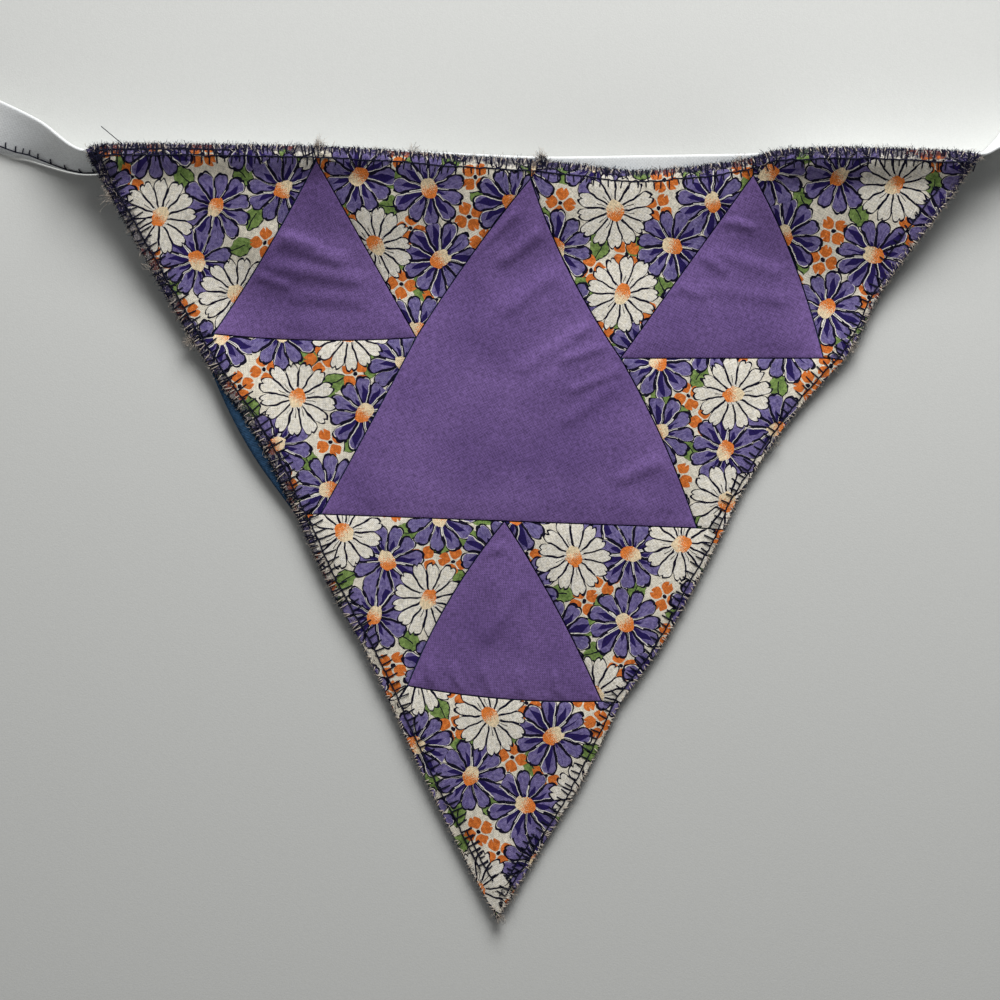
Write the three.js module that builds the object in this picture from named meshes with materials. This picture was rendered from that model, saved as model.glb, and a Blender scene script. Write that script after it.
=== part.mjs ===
// A patchwork bunting pennant on folded tape, lying face up as it was put down.
// The front is pieced from thirteen triangular patches. A backing triangle lies under them, and a
// length of tape, folded in two along its length, is sewn behind the top edge and runs on past both
// corners. The tape twists on its way, so it stands on edge under the pennant's corners, lies nearly
// flat behind the middle, and lifts the top edge off the surface.
// Millimetres. X runs along the tape, +Y from the point towards the tape, +Z up from the surface.

import * as THREE from "three";

const HALF_LENGTH = 189.5; // half of the tape's length
const HALF_DEPTH = 126.5; // from the origin to the pennant's point, and to the tape's far corner

const CLOTH = 1.0; // the backing's thickness, with its nap
const GAP = 0.3; // between two pieces of cloth that lie on or beside each other
const SEAM_THICK = 0.7; // a patch's thickness where it turns down into a seam
const PATCH_THICK = 1.1; // and in its middle
const SEAM_ROLL = 6; // how far from a seam a patch reaches its full thickness

const TAPE_WIDTH = 16; // folded
const TAPE_LAYER = 0.6;
const TAPE_SLOT = 0.4; // between the tape's two layers
const TAPE_LIP = 1.5; // how much narrower the front layer is than the back one
const TAPE_STATIONS = 120;
const TAPE_CLEAR = 0.8; // from the tape up to the backing
const TAPE_STEP = (2 * HALF_LENGTH) / TAPE_STATIONS;
const TAIL_FLAT = HALF_LENGTH - 6 * TAPE_STEP; // past here, at both ends, the tape lies flat
const MOST_LEAN = 0.3; // the cosine of the steepest tilt whose face the cloth still leans on

const SIDE_STEPS = 8; // steps along a small patch's side; a seam's short end is one step more

// The corners where seams meet, and where they run out at the raw edge.
const corner = {
  topLeft: [-118, 95],
  topRight: [138.5, 93.5],
  point: [0, -HALF_DEPTH],
  leftTop: [-52, 92],
  leftLow: [-82, 42.5],
  leftInner: [-23.5, 41.5],
  midTop: [9.5, 87],
  midLeft: [-51, -9.5],
  midRight: [57.5, -13.5],
  midLow: [2, -11.5],
  rightTop: [73.5, 88],
  rightInner: [35.5, 35.5],
  rightLow: [94, 35.5],
  lowLeft: [-26, -59],
  lowRight: [30, -63.5],
  edgeTopLeft: [-53, 96],
  edgeTopMid: [9.5, 92.5],
  edgeTopRight: [73.5, 93],
  edgeLeftHigh: [-88, 40.5],
  edgeLeftMid: [-58, -9.5],
  edgeLeftLow: [-31.5, -63],
  edgeRightHigh: [100, 35],
  edgeRightMid: [65.5, -14],
  edgeRightLow: [35.5, -64],
};

// Seams between two patches. bow is how far the seam's middle stands to the left of its own run.
const seams = [
  { from: "leftTop", to: "leftLow", bow: 0.9 },
  { from: "leftLow", to: "leftInner", bow: -1.3 },
  { from: "leftInner", to: "leftTop", bow: 0 },
  { from: "midTop", to: "leftInner", bow: -1.0 },
  { from: "leftInner", to: "midLeft", bow: 0.2 },
  { from: "midTop", to: "rightInner", bow: -2.0 },
  { from: "rightInner", to: "midRight", bow: 1.4 },
  { from: "midLeft", to: "midLow", bow: 0 },
  { from: "midLow", to: "midRight", bow: 0 },
  { from: "rightTop", to: "rightInner", bow: 0 },
  { from: "rightTop", to: "rightLow", bow: 2.1 },
  { from: "rightInner", to: "rightLow", bow: 0 },
  { from: "midLow", to: "lowLeft", bow: -2.2 },
  { from: "midLow", to: "lowRight", bow: 1.3 },
  { from: "lowLeft", to: "lowRight", bow: -1.6 },
];

// The short ends of the seams, from where three patches meet out to the raw edge.
const seamEnds = [
  ["leftTop", "edgeTopLeft"],
  ["leftLow", "edgeLeftHigh"],
  ["midTop", "edgeTopMid"],
  ["midLeft", "edgeLeftMid"],
  ["midRight", "edgeRightMid"],
  ["rightTop", "edgeTopRight"],
  ["rightLow", "edgeRightHigh"],
  ["lowLeft", "edgeLeftLow"],
  ["lowRight", "edgeRightLow"],
];

// Raw edges, each with the points that its waves need. At a corner of the pennant a side has one
// step more, because its patch has two short seam ends.
const rawEdges = [
  { from: "topLeft", to: "edgeTopLeft", extra: 2, by: [[-112, 96.5], [-86, 96.5]] },
  { from: "edgeTopLeft", to: "edgeTopMid", extra: 1, by: [[-34, 95], [-5, 93]] },
  { from: "edgeTopMid", to: "edgeTopRight", extra: 1, by: [[24, 91], [40.5, 89.4], [62, 91.2]] },
  { from: "edgeTopRight", to: "topRight", extra: 2, by: [[81.5, 95], [102, 95.5], [131, 94.5]] },
  { from: "topLeft", to: "edgeLeftHigh", extra: 2, by: [[-114.5, 88], [-100.5, 62.5]] },
  { from: "edgeLeftHigh", to: "edgeLeftMid", extra: 1, by: [[-79.5, 28], [-68.5, 11.5]] },
  { from: "edgeLeftMid", to: "edgeLeftLow", extra: 1, by: [[-48, -31.5], [-39.5, -46.5]] },
  { from: "edgeLeftLow", to: "point", extra: 2, by: [[-20.5, -87], [-8, -112]] },
  { from: "topRight", to: "edgeRightHigh", extra: 2, by: [[128, 78.5], [111.5, 56], [104, 41.5]] },
  { from: "edgeRightHigh", to: "edgeRightMid", extra: 1, by: [[85, 18.5], [71.5, -1.5]] },
  { from: "edgeRightMid", to: "edgeRightLow", extra: 1, by: [[55.5, -33], [47, -48]] },
  { from: "edgeRightLow", to: "point", extra: 2, by: [[24.5, -86.5], [12.5, -106]] },
];

// The patches, each named by the corners of its three sides in anticlockwise order. A side names
// every corner that it passes.
const patches = [
  { name: "plain_centre", print: false, sides: [
    ["midTop", "leftInner", "midLeft"],
    ["midLeft", "midLow", "midRight"],
    ["midRight", "rightInner", "midTop"]] },
  { name: "plain_left", print: false, sides: [
    ["leftTop", "leftLow"],
    ["leftLow", "leftInner"],
    ["leftInner", "leftTop"]] },
  { name: "plain_right", print: false, sides: [
    ["rightTop", "rightInner"],
    ["rightInner", "rightLow"],
    ["rightLow", "rightTop"]] },
  { name: "plain_low", print: false, sides: [
    ["midLow", "lowLeft"],
    ["lowLeft", "lowRight"],
    ["lowRight", "midLow"]] },
  { name: "print_left_corner", print: true, sides: [
    ["topLeft", "edgeLeftHigh"],
    ["edgeLeftHigh", "leftLow", "leftTop", "edgeTopLeft"],
    ["edgeTopLeft", "topLeft"]] },
  { name: "print_left_inner", print: true, sides: [
    ["edgeTopLeft", "leftTop", "leftInner"],
    ["leftInner", "midTop", "edgeTopMid"],
    ["edgeTopMid", "edgeTopLeft"]] },
  { name: "print_left_low", print: true, sides: [
    ["edgeLeftHigh", "edgeLeftMid"],
    ["edgeLeftMid", "midLeft", "leftInner"],
    ["leftInner", "leftLow", "edgeLeftHigh"]] },
  { name: "print_right_inner", print: true, sides: [
    ["edgeTopMid", "midTop", "rightInner"],
    ["rightInner", "rightTop", "edgeTopRight"],
    ["edgeTopRight", "edgeTopMid"]] },
  { name: "print_right_corner", print: true, sides: [
    ["edgeTopRight", "rightTop", "rightLow", "edgeRightHigh"],
    ["edgeRightHigh", "topRight"],
    ["topRight", "edgeTopRight"]] },
  { name: "print_right_low", print: true, sides: [
    ["rightInner", "midRight", "edgeRightMid"],
    ["edgeRightMid", "edgeRightHigh"],
    ["edgeRightHigh", "rightLow", "rightInner"]] },
  { name: "print_low_left", print: true, sides: [
    ["edgeLeftMid", "edgeLeftLow"],
    ["edgeLeftLow", "lowLeft", "midLow"],
    ["midLow", "midLeft", "edgeLeftMid"]] },
  { name: "print_low_right", print: true, sides: [
    ["midLow", "lowRight", "edgeRightLow"],
    ["edgeRightLow", "edgeRightMid"],
    ["edgeRightMid", "midRight", "midLow"]] },
  { name: "print_tip", print: true, sides: [
    ["edgeLeftLow", "point"],
    ["point", "edgeRightLow"],
    ["edgeRightLow", "lowRight", "lowLeft", "edgeLeftLow"]] },
];

// The folded tape, seen from above: where its fold runs, and its tilt in degrees. At 0 it lies
// flat with its front up, at 90 it stands on its open edge, and at 180 it lies on its front.
const tapeRows = [
  { at: -HALF_LENGTH, fold: HALF_DEPTH, tilt: 0 },
  { at: -TAIL_FLAT, fold: 121.6, tilt: 0 },
  { at: -158, fold: 116, tilt: 8 },
  { at: -144, fold: 110, tilt: 20 },
  { at: -132, fold: 104, tilt: 36 },
  { at: -118, fold: 95, tilt: 65 },
  { at: -104, fold: 95.6, tilt: 66 },
  { at: -86, fold: 96, tilt: 62 },
  { at: -57, fold: 95.5, tilt: 58 },
  { at: -34, fold: 95, tilt: 52 },
  { at: -5, fold: 94, tilt: 36 },
  { at: 14.5, fold: 93.5, tilt: 20 },
  { at: 44, fold: 94, tilt: 14 },
  { at: 70, fold: 94.3, tilt: 20 },
  { at: 90, fold: 94.4, tilt: 80 },
  { at: 116, fold: 94.4, tilt: 88 },
  { at: 132, fold: 94, tilt: 90 },
  { at: 139, fold: 93.8, tilt: 92 },
  { at: 145, fold: 96.4, tilt: 99 },
  { at: 155, fold: 101, tilt: 130 },
  { at: TAIL_FLAT, fold: 105.6, tilt: 180 },
  { at: HALF_LENGTH, fold: 107.5, tilt: 180 },
];

// The raw top edge, as a height up the page for each place along it.
const topEdge = [
  { at: -118, y: 95 },
  { at: -112, y: 96.5 },
  { at: -86, y: 96.5 },
  { at: -53, y: 96 },
  { at: -34, y: 95 },
  { at: 9.5, y: 92.5 },
  { at: 24, y: 91 },
  { at: 40.5, y: 89.4 },
  { at: 62, y: 91.2 },
  { at: 81.5, y: 95 },
  { at: 102, y: 95.5 },
  { at: 138.5, y: 93.5 },
];

// How far down the cloth its lifted top edge reaches before the cloth lies on the surface.
const topReach = [
  { at: -118, reach: 58 },
  { at: -60, reach: 50 },
  { at: 0, reach: 34 },
  { at: 44, reach: 28 },
  { at: 80, reach: 40 },
  { at: 138.5, reach: 62 },
];

// The two slanting raw edges, and how far each is curled up from the surface at that height.
const leftEdge = [
  { at: -126.5, x: 0, curl: 1.0 },
  { at: -112, x: -8, curl: 1.2 },
  { at: -63, x: -31.5, curl: 1.8 },
  { at: -9.5, x: -58, curl: 2.4 },
  { at: 11.5, x: -68.5, curl: 3.0 },
  { at: 40.5, x: -88, curl: 3.6 },
  { at: 62.5, x: -100.5, curl: 3.2 },
  { at: 95, x: -118, curl: 0 },
];
const rightEdge = [
  { at: -126.5, x: 0, curl: 0.8 },
  { at: -86.5, x: 24.5, curl: 1.2 },
  { at: -64, x: 35.5, curl: 1.4 },
  { at: -14, x: 65.5, curl: 1.4 },
  { at: 18.5, x: 85, curl: 1.6 },
  { at: 41.5, x: 104, curl: 2.6 },
  { at: 93.5, x: 138.5, curl: 0 },
];
const LEFT_CURL_REACH = 24;
const RIGHT_CURL_REACH = 18;
const BAND_DROP = 9; // the sewn top band drops steeply along this much of the cloth
const BAND_SHARE = 0.3; // and by this share of its height, where the tape stands on edge

// Soft folds in the cloth: their two ends, height and half width.
const softFolds = [
  { from: [-72, 69], to: [-42, 62], height: 1.0, width: 4.5 },
  { from: [-70, 60], to: [-36, 55], height: 0.8, width: 4 },
  { from: [14, 74], to: [-8, 60], height: 0.9, width: 4.5 },
  { from: [22, 58], to: [-2, 42], height: 0.8, width: 5 },
  { from: [32, 40], to: [8, 24], height: 0.8, width: 5 },
  { from: [42, 18], to: [20, 2], height: 0.6, width: 5 },
  { from: [58, 64], to: [84, 56], height: 0.7, width: 4.5 },
  { from: [-2, -22], to: [4, -44], height: 0.8, width: 4.5 },
];

const FOLD_END = 1.5; // a fold eases off at its ends over this many half widths
const FOLD_SIDE = 2; // and is level again this many half widths from its middle

// The backing's left edge shows past the front along this stretch, at most this far.
const BACKING_SHOWS = { low: -16, high: 38, most: 3.2 };

const colours = { plain: 0x6d5296, print: 0xd9cfc4, backing: 0x234a5e, tape: 0xf1f1ee };

function smooth(share) {
  const s = THREE.MathUtils.clamp(share, 0, 1);
  return s * s * (3 - 2 * s);
}

// A smooth curve through a table's rows that never overshoots them.
function along(rows, at, key) {
  const last = rows.length - 1;
  const here = THREE.MathUtils.clamp(at, rows[0].at, rows[last].at);
  let i = 0;
  while (i < last - 1 && rows[i + 1].at < here) i += 1;
  const rise = (j) => (rows[j + 1][key] - rows[j][key]) / (rows[j + 1].at - rows[j].at);
  const slope = (j) => {
    if (j === 0 || j === last) return 0;
    const before = rise(j - 1);
    const after = rise(j);
    return before * after > 0 ? (2 * before * after) / (before + after) : 0;
  };
  const span = rows[i + 1].at - rows[i].at;
  const t = (here - rows[i].at) / span;
  const lean = t * (1 - t) * span * ((1 - t) * slope(i) - t * slope(i + 1));
  return rows[i][key] + (rows[i + 1][key] - rows[i][key]) * smooth(t) + lean;
}

// The tape's section across its width: in from the fold, and out from its middle plane.
function tapeSection() {
  const half = TAPE_LAYER + TAPE_SLOT / 2;
  const slot = TAPE_SLOT / 2;
  const lip = TAPE_WIDTH - TAPE_LIP;
  return [
    [TAPE_WIDTH, -half],
    [half, -half],
    [half / 4, -half / 2],
    [0, 0],
    [half / 4, half / 2],
    [half, half],
    [lip, half],
    [lip, slot],
    [half * 2, slot],
    [half * 2, -slot],
    [TAPE_WIDTH, -slot],
  ];
}

// How high the fold is over the surface when the tape's lowest edge touches it.
function foldHeight(tilt) {
  const drops = tapeSection().map(([inward, out]) => {
    return inward * Math.sin(tilt) - out * Math.cos(tilt);
  });
  return Math.max(...drops);
}

// The height that the backing keeps over the tape at the raw top edge.
function topHeight(x) {
  const tilt = THREE.MathUtils.degToRad(along(tapeRows, x, "tilt"));
  const half = TAPE_LAYER + TAPE_SLOT / 2;
  const below = Math.max(along(tapeRows, x, "fold") - along(topEdge, x, "y"), 0);
  const crest = foldHeight(tilt) + half * Math.abs(Math.cos(tilt));
  const slide = Math.cos(tilt) > MOST_LEAN ? below * Math.tan(tilt) : 0;
  return crest - slide + TAPE_CLEAR;
}

// A soft fold's height at a place: full along its middle, easing off at its sides and ends.
function foldRise(fold, x, y) {
  const dx = fold.to[0] - fold.from[0];
  const dy = fold.to[1] - fold.from[1];
  const length = Math.hypot(dx, dy);
  const run = ((x - fold.from[0]) * dx + (y - fold.from[1]) * dy) / length;
  const aside = ((x - fold.from[0]) * dy - (y - fold.from[1]) * dx) / length;
  const end = fold.width * FOLD_END;
  const ease = smooth((run + end) / (2 * end)) * smooth((length + end - run) / (2 * end));
  const side = smooth(1 - Math.abs(aside) / (fold.width * FOLD_SIDE));
  return fold.height * side * ease;
}

// The height of the backing's underside over the surface.
function lift(x, y) {
  const down = Math.max(along(topEdge, x, "y") - y, 0);
  const tilt = THREE.MathUtils.degToRad(along(tapeRows, x, "tilt"));
  const over = Math.max(along(topEdge, x, "y") - along(tapeRows, x, "fold"), 0) + TAPE_LAYER * 2;
  const band = BAND_SHARE * Math.sin(tilt) ** 2;
  const ease = 1 - smooth(down / along(topReach, x, "reach"));
  const steep = 1 - smooth((down - over) / BAND_DROP);
  const top = topHeight(x) * ((1 - band) * ease + band * steep);
  const fromLeft = x - along(leftEdge, y, "x");
  const fromRight = along(rightEdge, y, "x") - x;
  const left = along(leftEdge, y, "curl") * (1 - smooth(fromLeft / LEFT_CURL_REACH));
  const right = along(rightEdge, y, "curl") * (1 - smooth(fromRight / RIGHT_CURL_REACH));
  const folds = softFolds.reduce((sum, fold) => sum + foldRise(fold, x, y), 0);
  return top + (left + right) * (1 - ease) + folds;
}

// Every seam and raw edge as a row of points, found by the two corners that it joins.
const runs = new Map();

function addRun(from, to, points) {
  runs.set(`${from} ${to}`, points);
  runs.set(`${to} ${from}`, [...points].reverse());
}

for (const { from, to, bow } of seams) {
  const start = new THREE.Vector2(...corner[from]);
  const end = new THREE.Vector2(...corner[to]);
  const run = end.clone().sub(start).normalize();
  const middle = start.clone().add(end).multiplyScalar(0.5);
  middle.add(new THREE.Vector2(-run.y, run.x).multiplyScalar(2 * bow));
  const curve = new THREE.QuadraticBezierCurve(start, middle, end);
  addRun(from, to, curve.getSpacedPoints(SIDE_STEPS));
}
for (const [from, to] of seamEnds) {
  addRun(from, to, [new THREE.Vector2(...corner[from]), new THREE.Vector2(...corner[to])]);
}
for (const { from, to, extra, by } of rawEdges) {
  const points = [corner[from], ...by, corner[to]].map((p) => new THREE.Vector2(...p));
  addRun(from, to, new THREE.SplineCurve(points).getSpacedPoints(SIDE_STEPS + extra));
}

// One side of a patch: its runs joined end to end.
function sidePoints(names) {
  const points = [];
  for (let i = 0; i < names.length - 1; i += 1) {
    const run = runs.get(`${names[i]} ${names[i + 1]}`);
    points.push(...(i === 0 ? run : run.slice(1)));
  }
  return points;
}

// How far a side's point, at this share of the side, stands off the straight line between its ends.
function offset(points, share) {
  const last = points.length - 1;
  const place = THREE.MathUtils.clamp(share, 0, 1) * last;
  const i = Math.min(Math.floor(place), last - 1);
  const point = points[i].clone().lerp(points[i + 1], place - i);
  return point.sub(points[0].clone().lerp(points[last], place / last));
}

// A patch as a triangular grid of points that follows its three curved sides. A trim above 0
// keeps it that far inside them.
function patchGrid(sides, trim) {
  const [ab, bc, ca] = sides.map(sidePoints);
  const steps = ab.length - 1;
  const height = (ab[0].distanceTo(bc[0]) * Math.sqrt(3)) / 2;
  const inset = trim / height;
  const points = [];
  for (let row = 0; row <= steps; row += 1) {
    for (let place = 0; place <= row; place += 1) {
      const u = inset + (1 - 3 * inset) * (1 - row / steps);
      const w = inset + (1 - 3 * inset) * (place / steps);
      const v = 1 - u - w;
      const point = new THREE.Vector2(0, 0);
      point.addScaledVector(ab[0], u).addScaledVector(bc[0], v).addScaledVector(ca[0], w);
      if (u + v > 0) point.addScaledVector(offset(ab, v / (u + v)), 1 - w);
      if (v + w > 0) point.addScaledVector(offset(bc, w / (v + w)), 1 - u);
      if (w + u > 0) point.addScaledVector(offset(ca, u / (w + u)), 1 - v);
      points.push(point);
    }
  }
  const faces = [];
  const index = (row, place) => (row * (row + 1)) / 2 + place;
  for (let row = 0; row < steps; row += 1) {
    for (let place = 0; place <= row; place += 1) {
      faces.push([index(row, place), index(row + 1, place), index(row + 1, place + 1)]);
      if (place < row) {
        faces.push([index(row, place), index(row + 1, place + 1), index(row, place + 1)]);
      }
    }
  }
  return { points, faces, steps };
}

// How far a grid's point is from the nearest side of its patch, in steps.
function stepsIn(number, steps) {
  let row = 0;
  while (((row + 1) * (row + 2)) / 2 <= number) row += 1;
  const place = number - (row * (row + 1)) / 2;
  return Math.min(steps - row, place, row - place);
}

// A closed solid from a sheet of faces, with a lower and an upper height for each point.
function solid(points, faces, lows, highs) {
  const count = points.length;
  const positions = [];
  points.forEach((p, i) => positions.push(p.x, p.y, lows[i]));
  points.forEach((p, i) => positions.push(p.x, p.y, highs[i]));
  const uses = new Map();
  for (const face of faces) {
    for (let i = 0; i < 3; i += 1) uses.set(`${face[i]} ${face[(i + 1) % 3]}`, true);
  }
  const index = [];
  for (const [a, b, c] of faces) {
    index.push(a + count, b + count, c + count, c, b, a);
  }
  for (const key of uses.keys()) {
    const [a, b] = key.split(" ").map(Number);
    if (!uses.has(`${b} ${a}`)) index.push(a, b, b + count, a, b + count, a + count);
  }
  const geometry = new THREE.BufferGeometry();
  geometry.setAttribute("position", new THREE.Float32BufferAttribute(positions, 3));
  geometry.setIndex(index);
  return geometry;
}

function patchGeometry(sides) {
  const grid = patchGrid(sides, GAP / 2);
  const side = grid.points[0].distanceTo(grid.points[grid.points.length - 1]);
  const lows = grid.points.map((p) => lift(p.x, p.y) + CLOTH + GAP);
  const highs = grid.points.map((p, i) => {
    const inward = (stepsIn(i, grid.steps) * side) / grid.steps;
    const puff = (PATCH_THICK - SEAM_THICK) * smooth(inward / SEAM_ROLL);
    return lows[i] + SEAM_THICK + puff;
  });
  return solid(grid.points, grid.faces, lows, highs);
}

// How far the backing shows past the front's left edge.
function backingShows(x, y) {
  const { low, high, most } = BACKING_SHOWS;
  if (y < low || y > high || x > along(leftEdge, y, "x") + 1) return 0;
  return most * Math.sin((Math.PI * (y - low)) / (high - low)) ** 2;
}

// The backing is one sheet under all the patches, so its points are theirs, met at the seams.
function backingGeometry() {
  const points = [];
  const faces = [];
  const known = new Map();
  for (const { sides } of patches) {
    const grid = patchGrid(sides, 0);
    const numbers = grid.points.map((p) => {
      const key = `${p.x.toFixed(3)} ${p.y.toFixed(3)}`;
      if (!known.has(key)) {
        known.set(key, points.length);
        points.push(p);
      }
      return known.get(key);
    });
    for (const face of grid.faces) faces.push(face.map((i) => numbers[i]));
  }
  const lows = points.map((p) => lift(p.x, p.y));
  points.forEach((p) => p.setX(p.x - backingShows(p.x, p.y)));
  return solid(points, faces, lows, lows.map((z) => z + CLOTH));
}

// The folded tape: its section carried along the fold, tilted as it goes.
function tapeGeometry() {
  const section = tapeSection();
  const round = section.length;
  const positions = [];
  for (let i = 0; i <= TAPE_STATIONS; i += 1) {
    const x = -HALF_LENGTH + i * TAPE_STEP;
    const fold = along(tapeRows, x, "fold");
    const half = TAPE_STEP / 2;
    const ahead = along(tapeRows, x + half, "fold") - along(tapeRows, x - half, "fold");
    const heading = i === 0 || i === TAPE_STATIONS ? 0 : Math.atan2(ahead, TAPE_STEP);
    const tilt = THREE.MathUtils.degToRad(along(tapeRows, x, "tilt"));
    for (const [inward, out] of section) {
      const sideways = -inward * Math.cos(tilt) - out * Math.sin(tilt);
      const up = -inward * Math.sin(tilt) + out * Math.cos(tilt);
      positions.push(
        x - sideways * Math.sin(heading),
        fold + sideways * Math.cos(heading),
        foldHeight(tilt) + up,
      );
    }
  }
  // Both faces of a layer are cut along the same diagonal, so that it keeps its thickness in the
  // twist.
  const index = [];
  for (let i = 0; i < TAPE_STATIONS; i += 1) {
    for (let j = 0; j < round; j += 1) {
      const a = i * round + j;
      const b = i * round + ((j + 1) % round);
      if (section[j][0] > section[(j + 1) % round][0]) {
        index.push(a, b + round, a + round, a, b, b + round);
      } else {
        index.push(a, b, a + round, b, b + round, a + round);
      }
    }
  }
  const outline = section.map(([inward, out]) => new THREE.Vector2(inward, out));
  const far = TAPE_STATIONS * round;
  for (const [a, b, c] of THREE.ShapeUtils.triangulateShape(outline, [])) {
    index.push(a, b, c, far + c, far + b, far + a);
  }
  const geometry = new THREE.BufferGeometry();
  geometry.setAttribute("position", new THREE.Float32BufferAttribute(positions, 3));
  geometry.setIndex(index);
  return geometry;
}

function cloth(name, geometry, color, roughness) {
  const material = new THREE.MeshStandardMaterial({ color, roughness, metalness: 0 });
  const mesh = new THREE.Mesh(geometry, material);
  mesh.name = name;
  return mesh;
}

const bunting = new THREE.Group();
for (const { name, print, sides } of patches) {
  const color = print ? colours.print : colours.plain;
  bunting.add(cloth(name, patchGeometry(sides), color, 0.85));
}
bunting.add(cloth("backing", backingGeometry(), colours.backing, 0.9));
bunting.add(cloth("tape", tapeGeometry(), colours.tape, 0.7));

export default bunting;
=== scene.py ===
"""A patchwork bunting pennant on folded tape, lying face up on a plain pale floor.

Sizes are in millimetres, as a maker measures cloth, and MM turns them into Blender's metres.
X runs along the tape, +Y from the point towards the tape, +Z up.
"""

import bisect
import logging
import math
import random
from dataclasses import dataclass, field
from enum import Enum
from typing import Any, Callable, Iterator, Sequence

import bmesh
import bpy
from mathutils import Matrix, Vector, noise


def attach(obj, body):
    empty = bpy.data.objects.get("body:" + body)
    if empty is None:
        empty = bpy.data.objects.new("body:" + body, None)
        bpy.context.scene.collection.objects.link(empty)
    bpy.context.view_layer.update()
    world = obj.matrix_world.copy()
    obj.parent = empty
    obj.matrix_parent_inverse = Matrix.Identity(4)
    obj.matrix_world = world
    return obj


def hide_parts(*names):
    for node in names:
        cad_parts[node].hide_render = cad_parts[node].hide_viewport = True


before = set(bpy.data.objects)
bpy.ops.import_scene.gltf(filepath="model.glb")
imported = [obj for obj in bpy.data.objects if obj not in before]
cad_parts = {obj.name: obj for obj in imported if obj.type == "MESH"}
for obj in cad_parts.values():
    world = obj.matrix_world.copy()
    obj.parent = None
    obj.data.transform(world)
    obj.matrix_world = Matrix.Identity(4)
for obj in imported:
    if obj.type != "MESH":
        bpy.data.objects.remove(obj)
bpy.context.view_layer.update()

log = logging.getLogger("bunting")

MM = 0.001
REPEAT = 64.0  # the print's repeat, and one unit of every UV map
Row = tuple[float, ...]
Point = tuple[float, float]

# ---------------------------------------------------------------------------------------------
# The pennant's plan, in millimetres, as the CAD model has it.
# ---------------------------------------------------------------------------------------------

HALF_LENGTH = 189.5
CORNERS: dict[str, Point] = {
    "topLeft": (-118, 95), "topRight": (138.5, 93.5), "point": (0, -126.5), "leftTop": (-52, 92),
    "leftLow": (-82, 42.5), "leftInner": (-23.5, 41.5), "midTop": (9.5, 87),
    "midLeft": (-51, -9.5), "midRight": (57.5, -13.5), "midLow": (2, -11.5),
    "rightTop": (73.5, 88), "rightInner": (35.5, 35.5), "rightLow": (94, 35.5),
    "lowLeft": (-26, -59), "lowRight": (30, -63.5), "edgeTopLeft": (-53, 96),
    "edgeTopMid": (9.5, 92.5), "edgeTopRight": (73.5, 93), "edgeLeftHigh": (-88, 40.5),
    "edgeLeftMid": (-58, -9.5), "edgeLeftLow": (-31.5, -63), "edgeRightHigh": (100, 35),
    "edgeRightMid": (65.5, -14), "edgeRightLow": (35.5, -64),
}

# Seams between two patches: from, to, and how far the middle stands to the left of the run.
SEAMS: list[tuple[str, str, float]] = [
    ("leftTop", "leftLow", 0.9), ("leftLow", "leftInner", -1.3), ("leftInner", "leftTop", 0),
    ("midTop", "leftInner", -1.0), ("leftInner", "midLeft", 0.2), ("midTop", "rightInner", -2.0),
    ("rightInner", "midRight", 1.4), ("midLeft", "midLow", 0), ("midLow", "midRight", 0),
    ("rightTop", "rightInner", 0), ("rightTop", "rightLow", 2.1), ("rightInner", "rightLow", 0),
    ("midLow", "lowLeft", -2.2), ("midLow", "lowRight", 1.3), ("lowLeft", "lowRight", -1.6),
]
SEAM_STEPS = 8
SEAM_ENDS: list[tuple[str, str]] = [
    ("leftTop", "edgeTopLeft"), ("leftLow", "edgeLeftHigh"), ("midTop", "edgeTopMid"),
    ("midLeft", "edgeLeftMid"), ("midRight", "edgeRightMid"), ("rightTop", "edgeTopRight"),
    ("rightLow", "edgeRightHigh"), ("lowLeft", "edgeLeftLow"), ("lowRight", "edgeRightLow"),
]

# Raw edges: from, to, steps beyond a seam's, and the points that the edge's waves need.
RAW_EDGES: list[tuple[str, str, int, list[Point]]] = [
    ("topLeft", "edgeTopLeft", 2, [(-112, 96.5), (-86, 96.5)]),
    ("edgeTopLeft", "edgeTopMid", 1, [(-34, 95), (-5, 93)]),
    ("edgeTopMid", "edgeTopRight", 1, [(24, 91), (40.5, 89.4), (62, 91.2)]),
    ("edgeTopRight", "topRight", 2, [(81.5, 95), (102, 95.5), (131, 94.5)]),
    ("topLeft", "edgeLeftHigh", 2, [(-114.5, 88), (-100.5, 62.5)]),
    ("edgeLeftHigh", "edgeLeftMid", 1, [(-79.5, 28), (-68.5, 11.5)]),
    ("edgeLeftMid", "edgeLeftLow", 1, [(-48, -31.5), (-39.5, -46.5)]),
    ("edgeLeftLow", "point", 2, [(-20.5, -87), (-8, -112)]),
    ("topRight", "edgeRightHigh", 2, [(128, 78.5), (111.5, 56), (104, 41.5)]),
    ("edgeRightHigh", "edgeRightMid", 1, [(85, 18.5), (71.5, -1.5)]),
    ("edgeRightMid", "edgeRightLow", 1, [(55.5, -33), (47, -48)]),
    ("edgeRightLow", "point", 2, [(24.5, -86.5), (12.5, -106)]),
]
LEFT_EDGE = ["topLeft", "edgeLeftHigh", "edgeLeftMid", "edgeLeftLow", "point"]
RIGHT_EDGE = ["point", "edgeRightLow", "edgeRightMid", "edgeRightHigh", "topRight"]
TOP_EDGE = ["topRight", "edgeTopRight", "edgeTopMid", "edgeTopLeft", "topLeft"]

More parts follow.
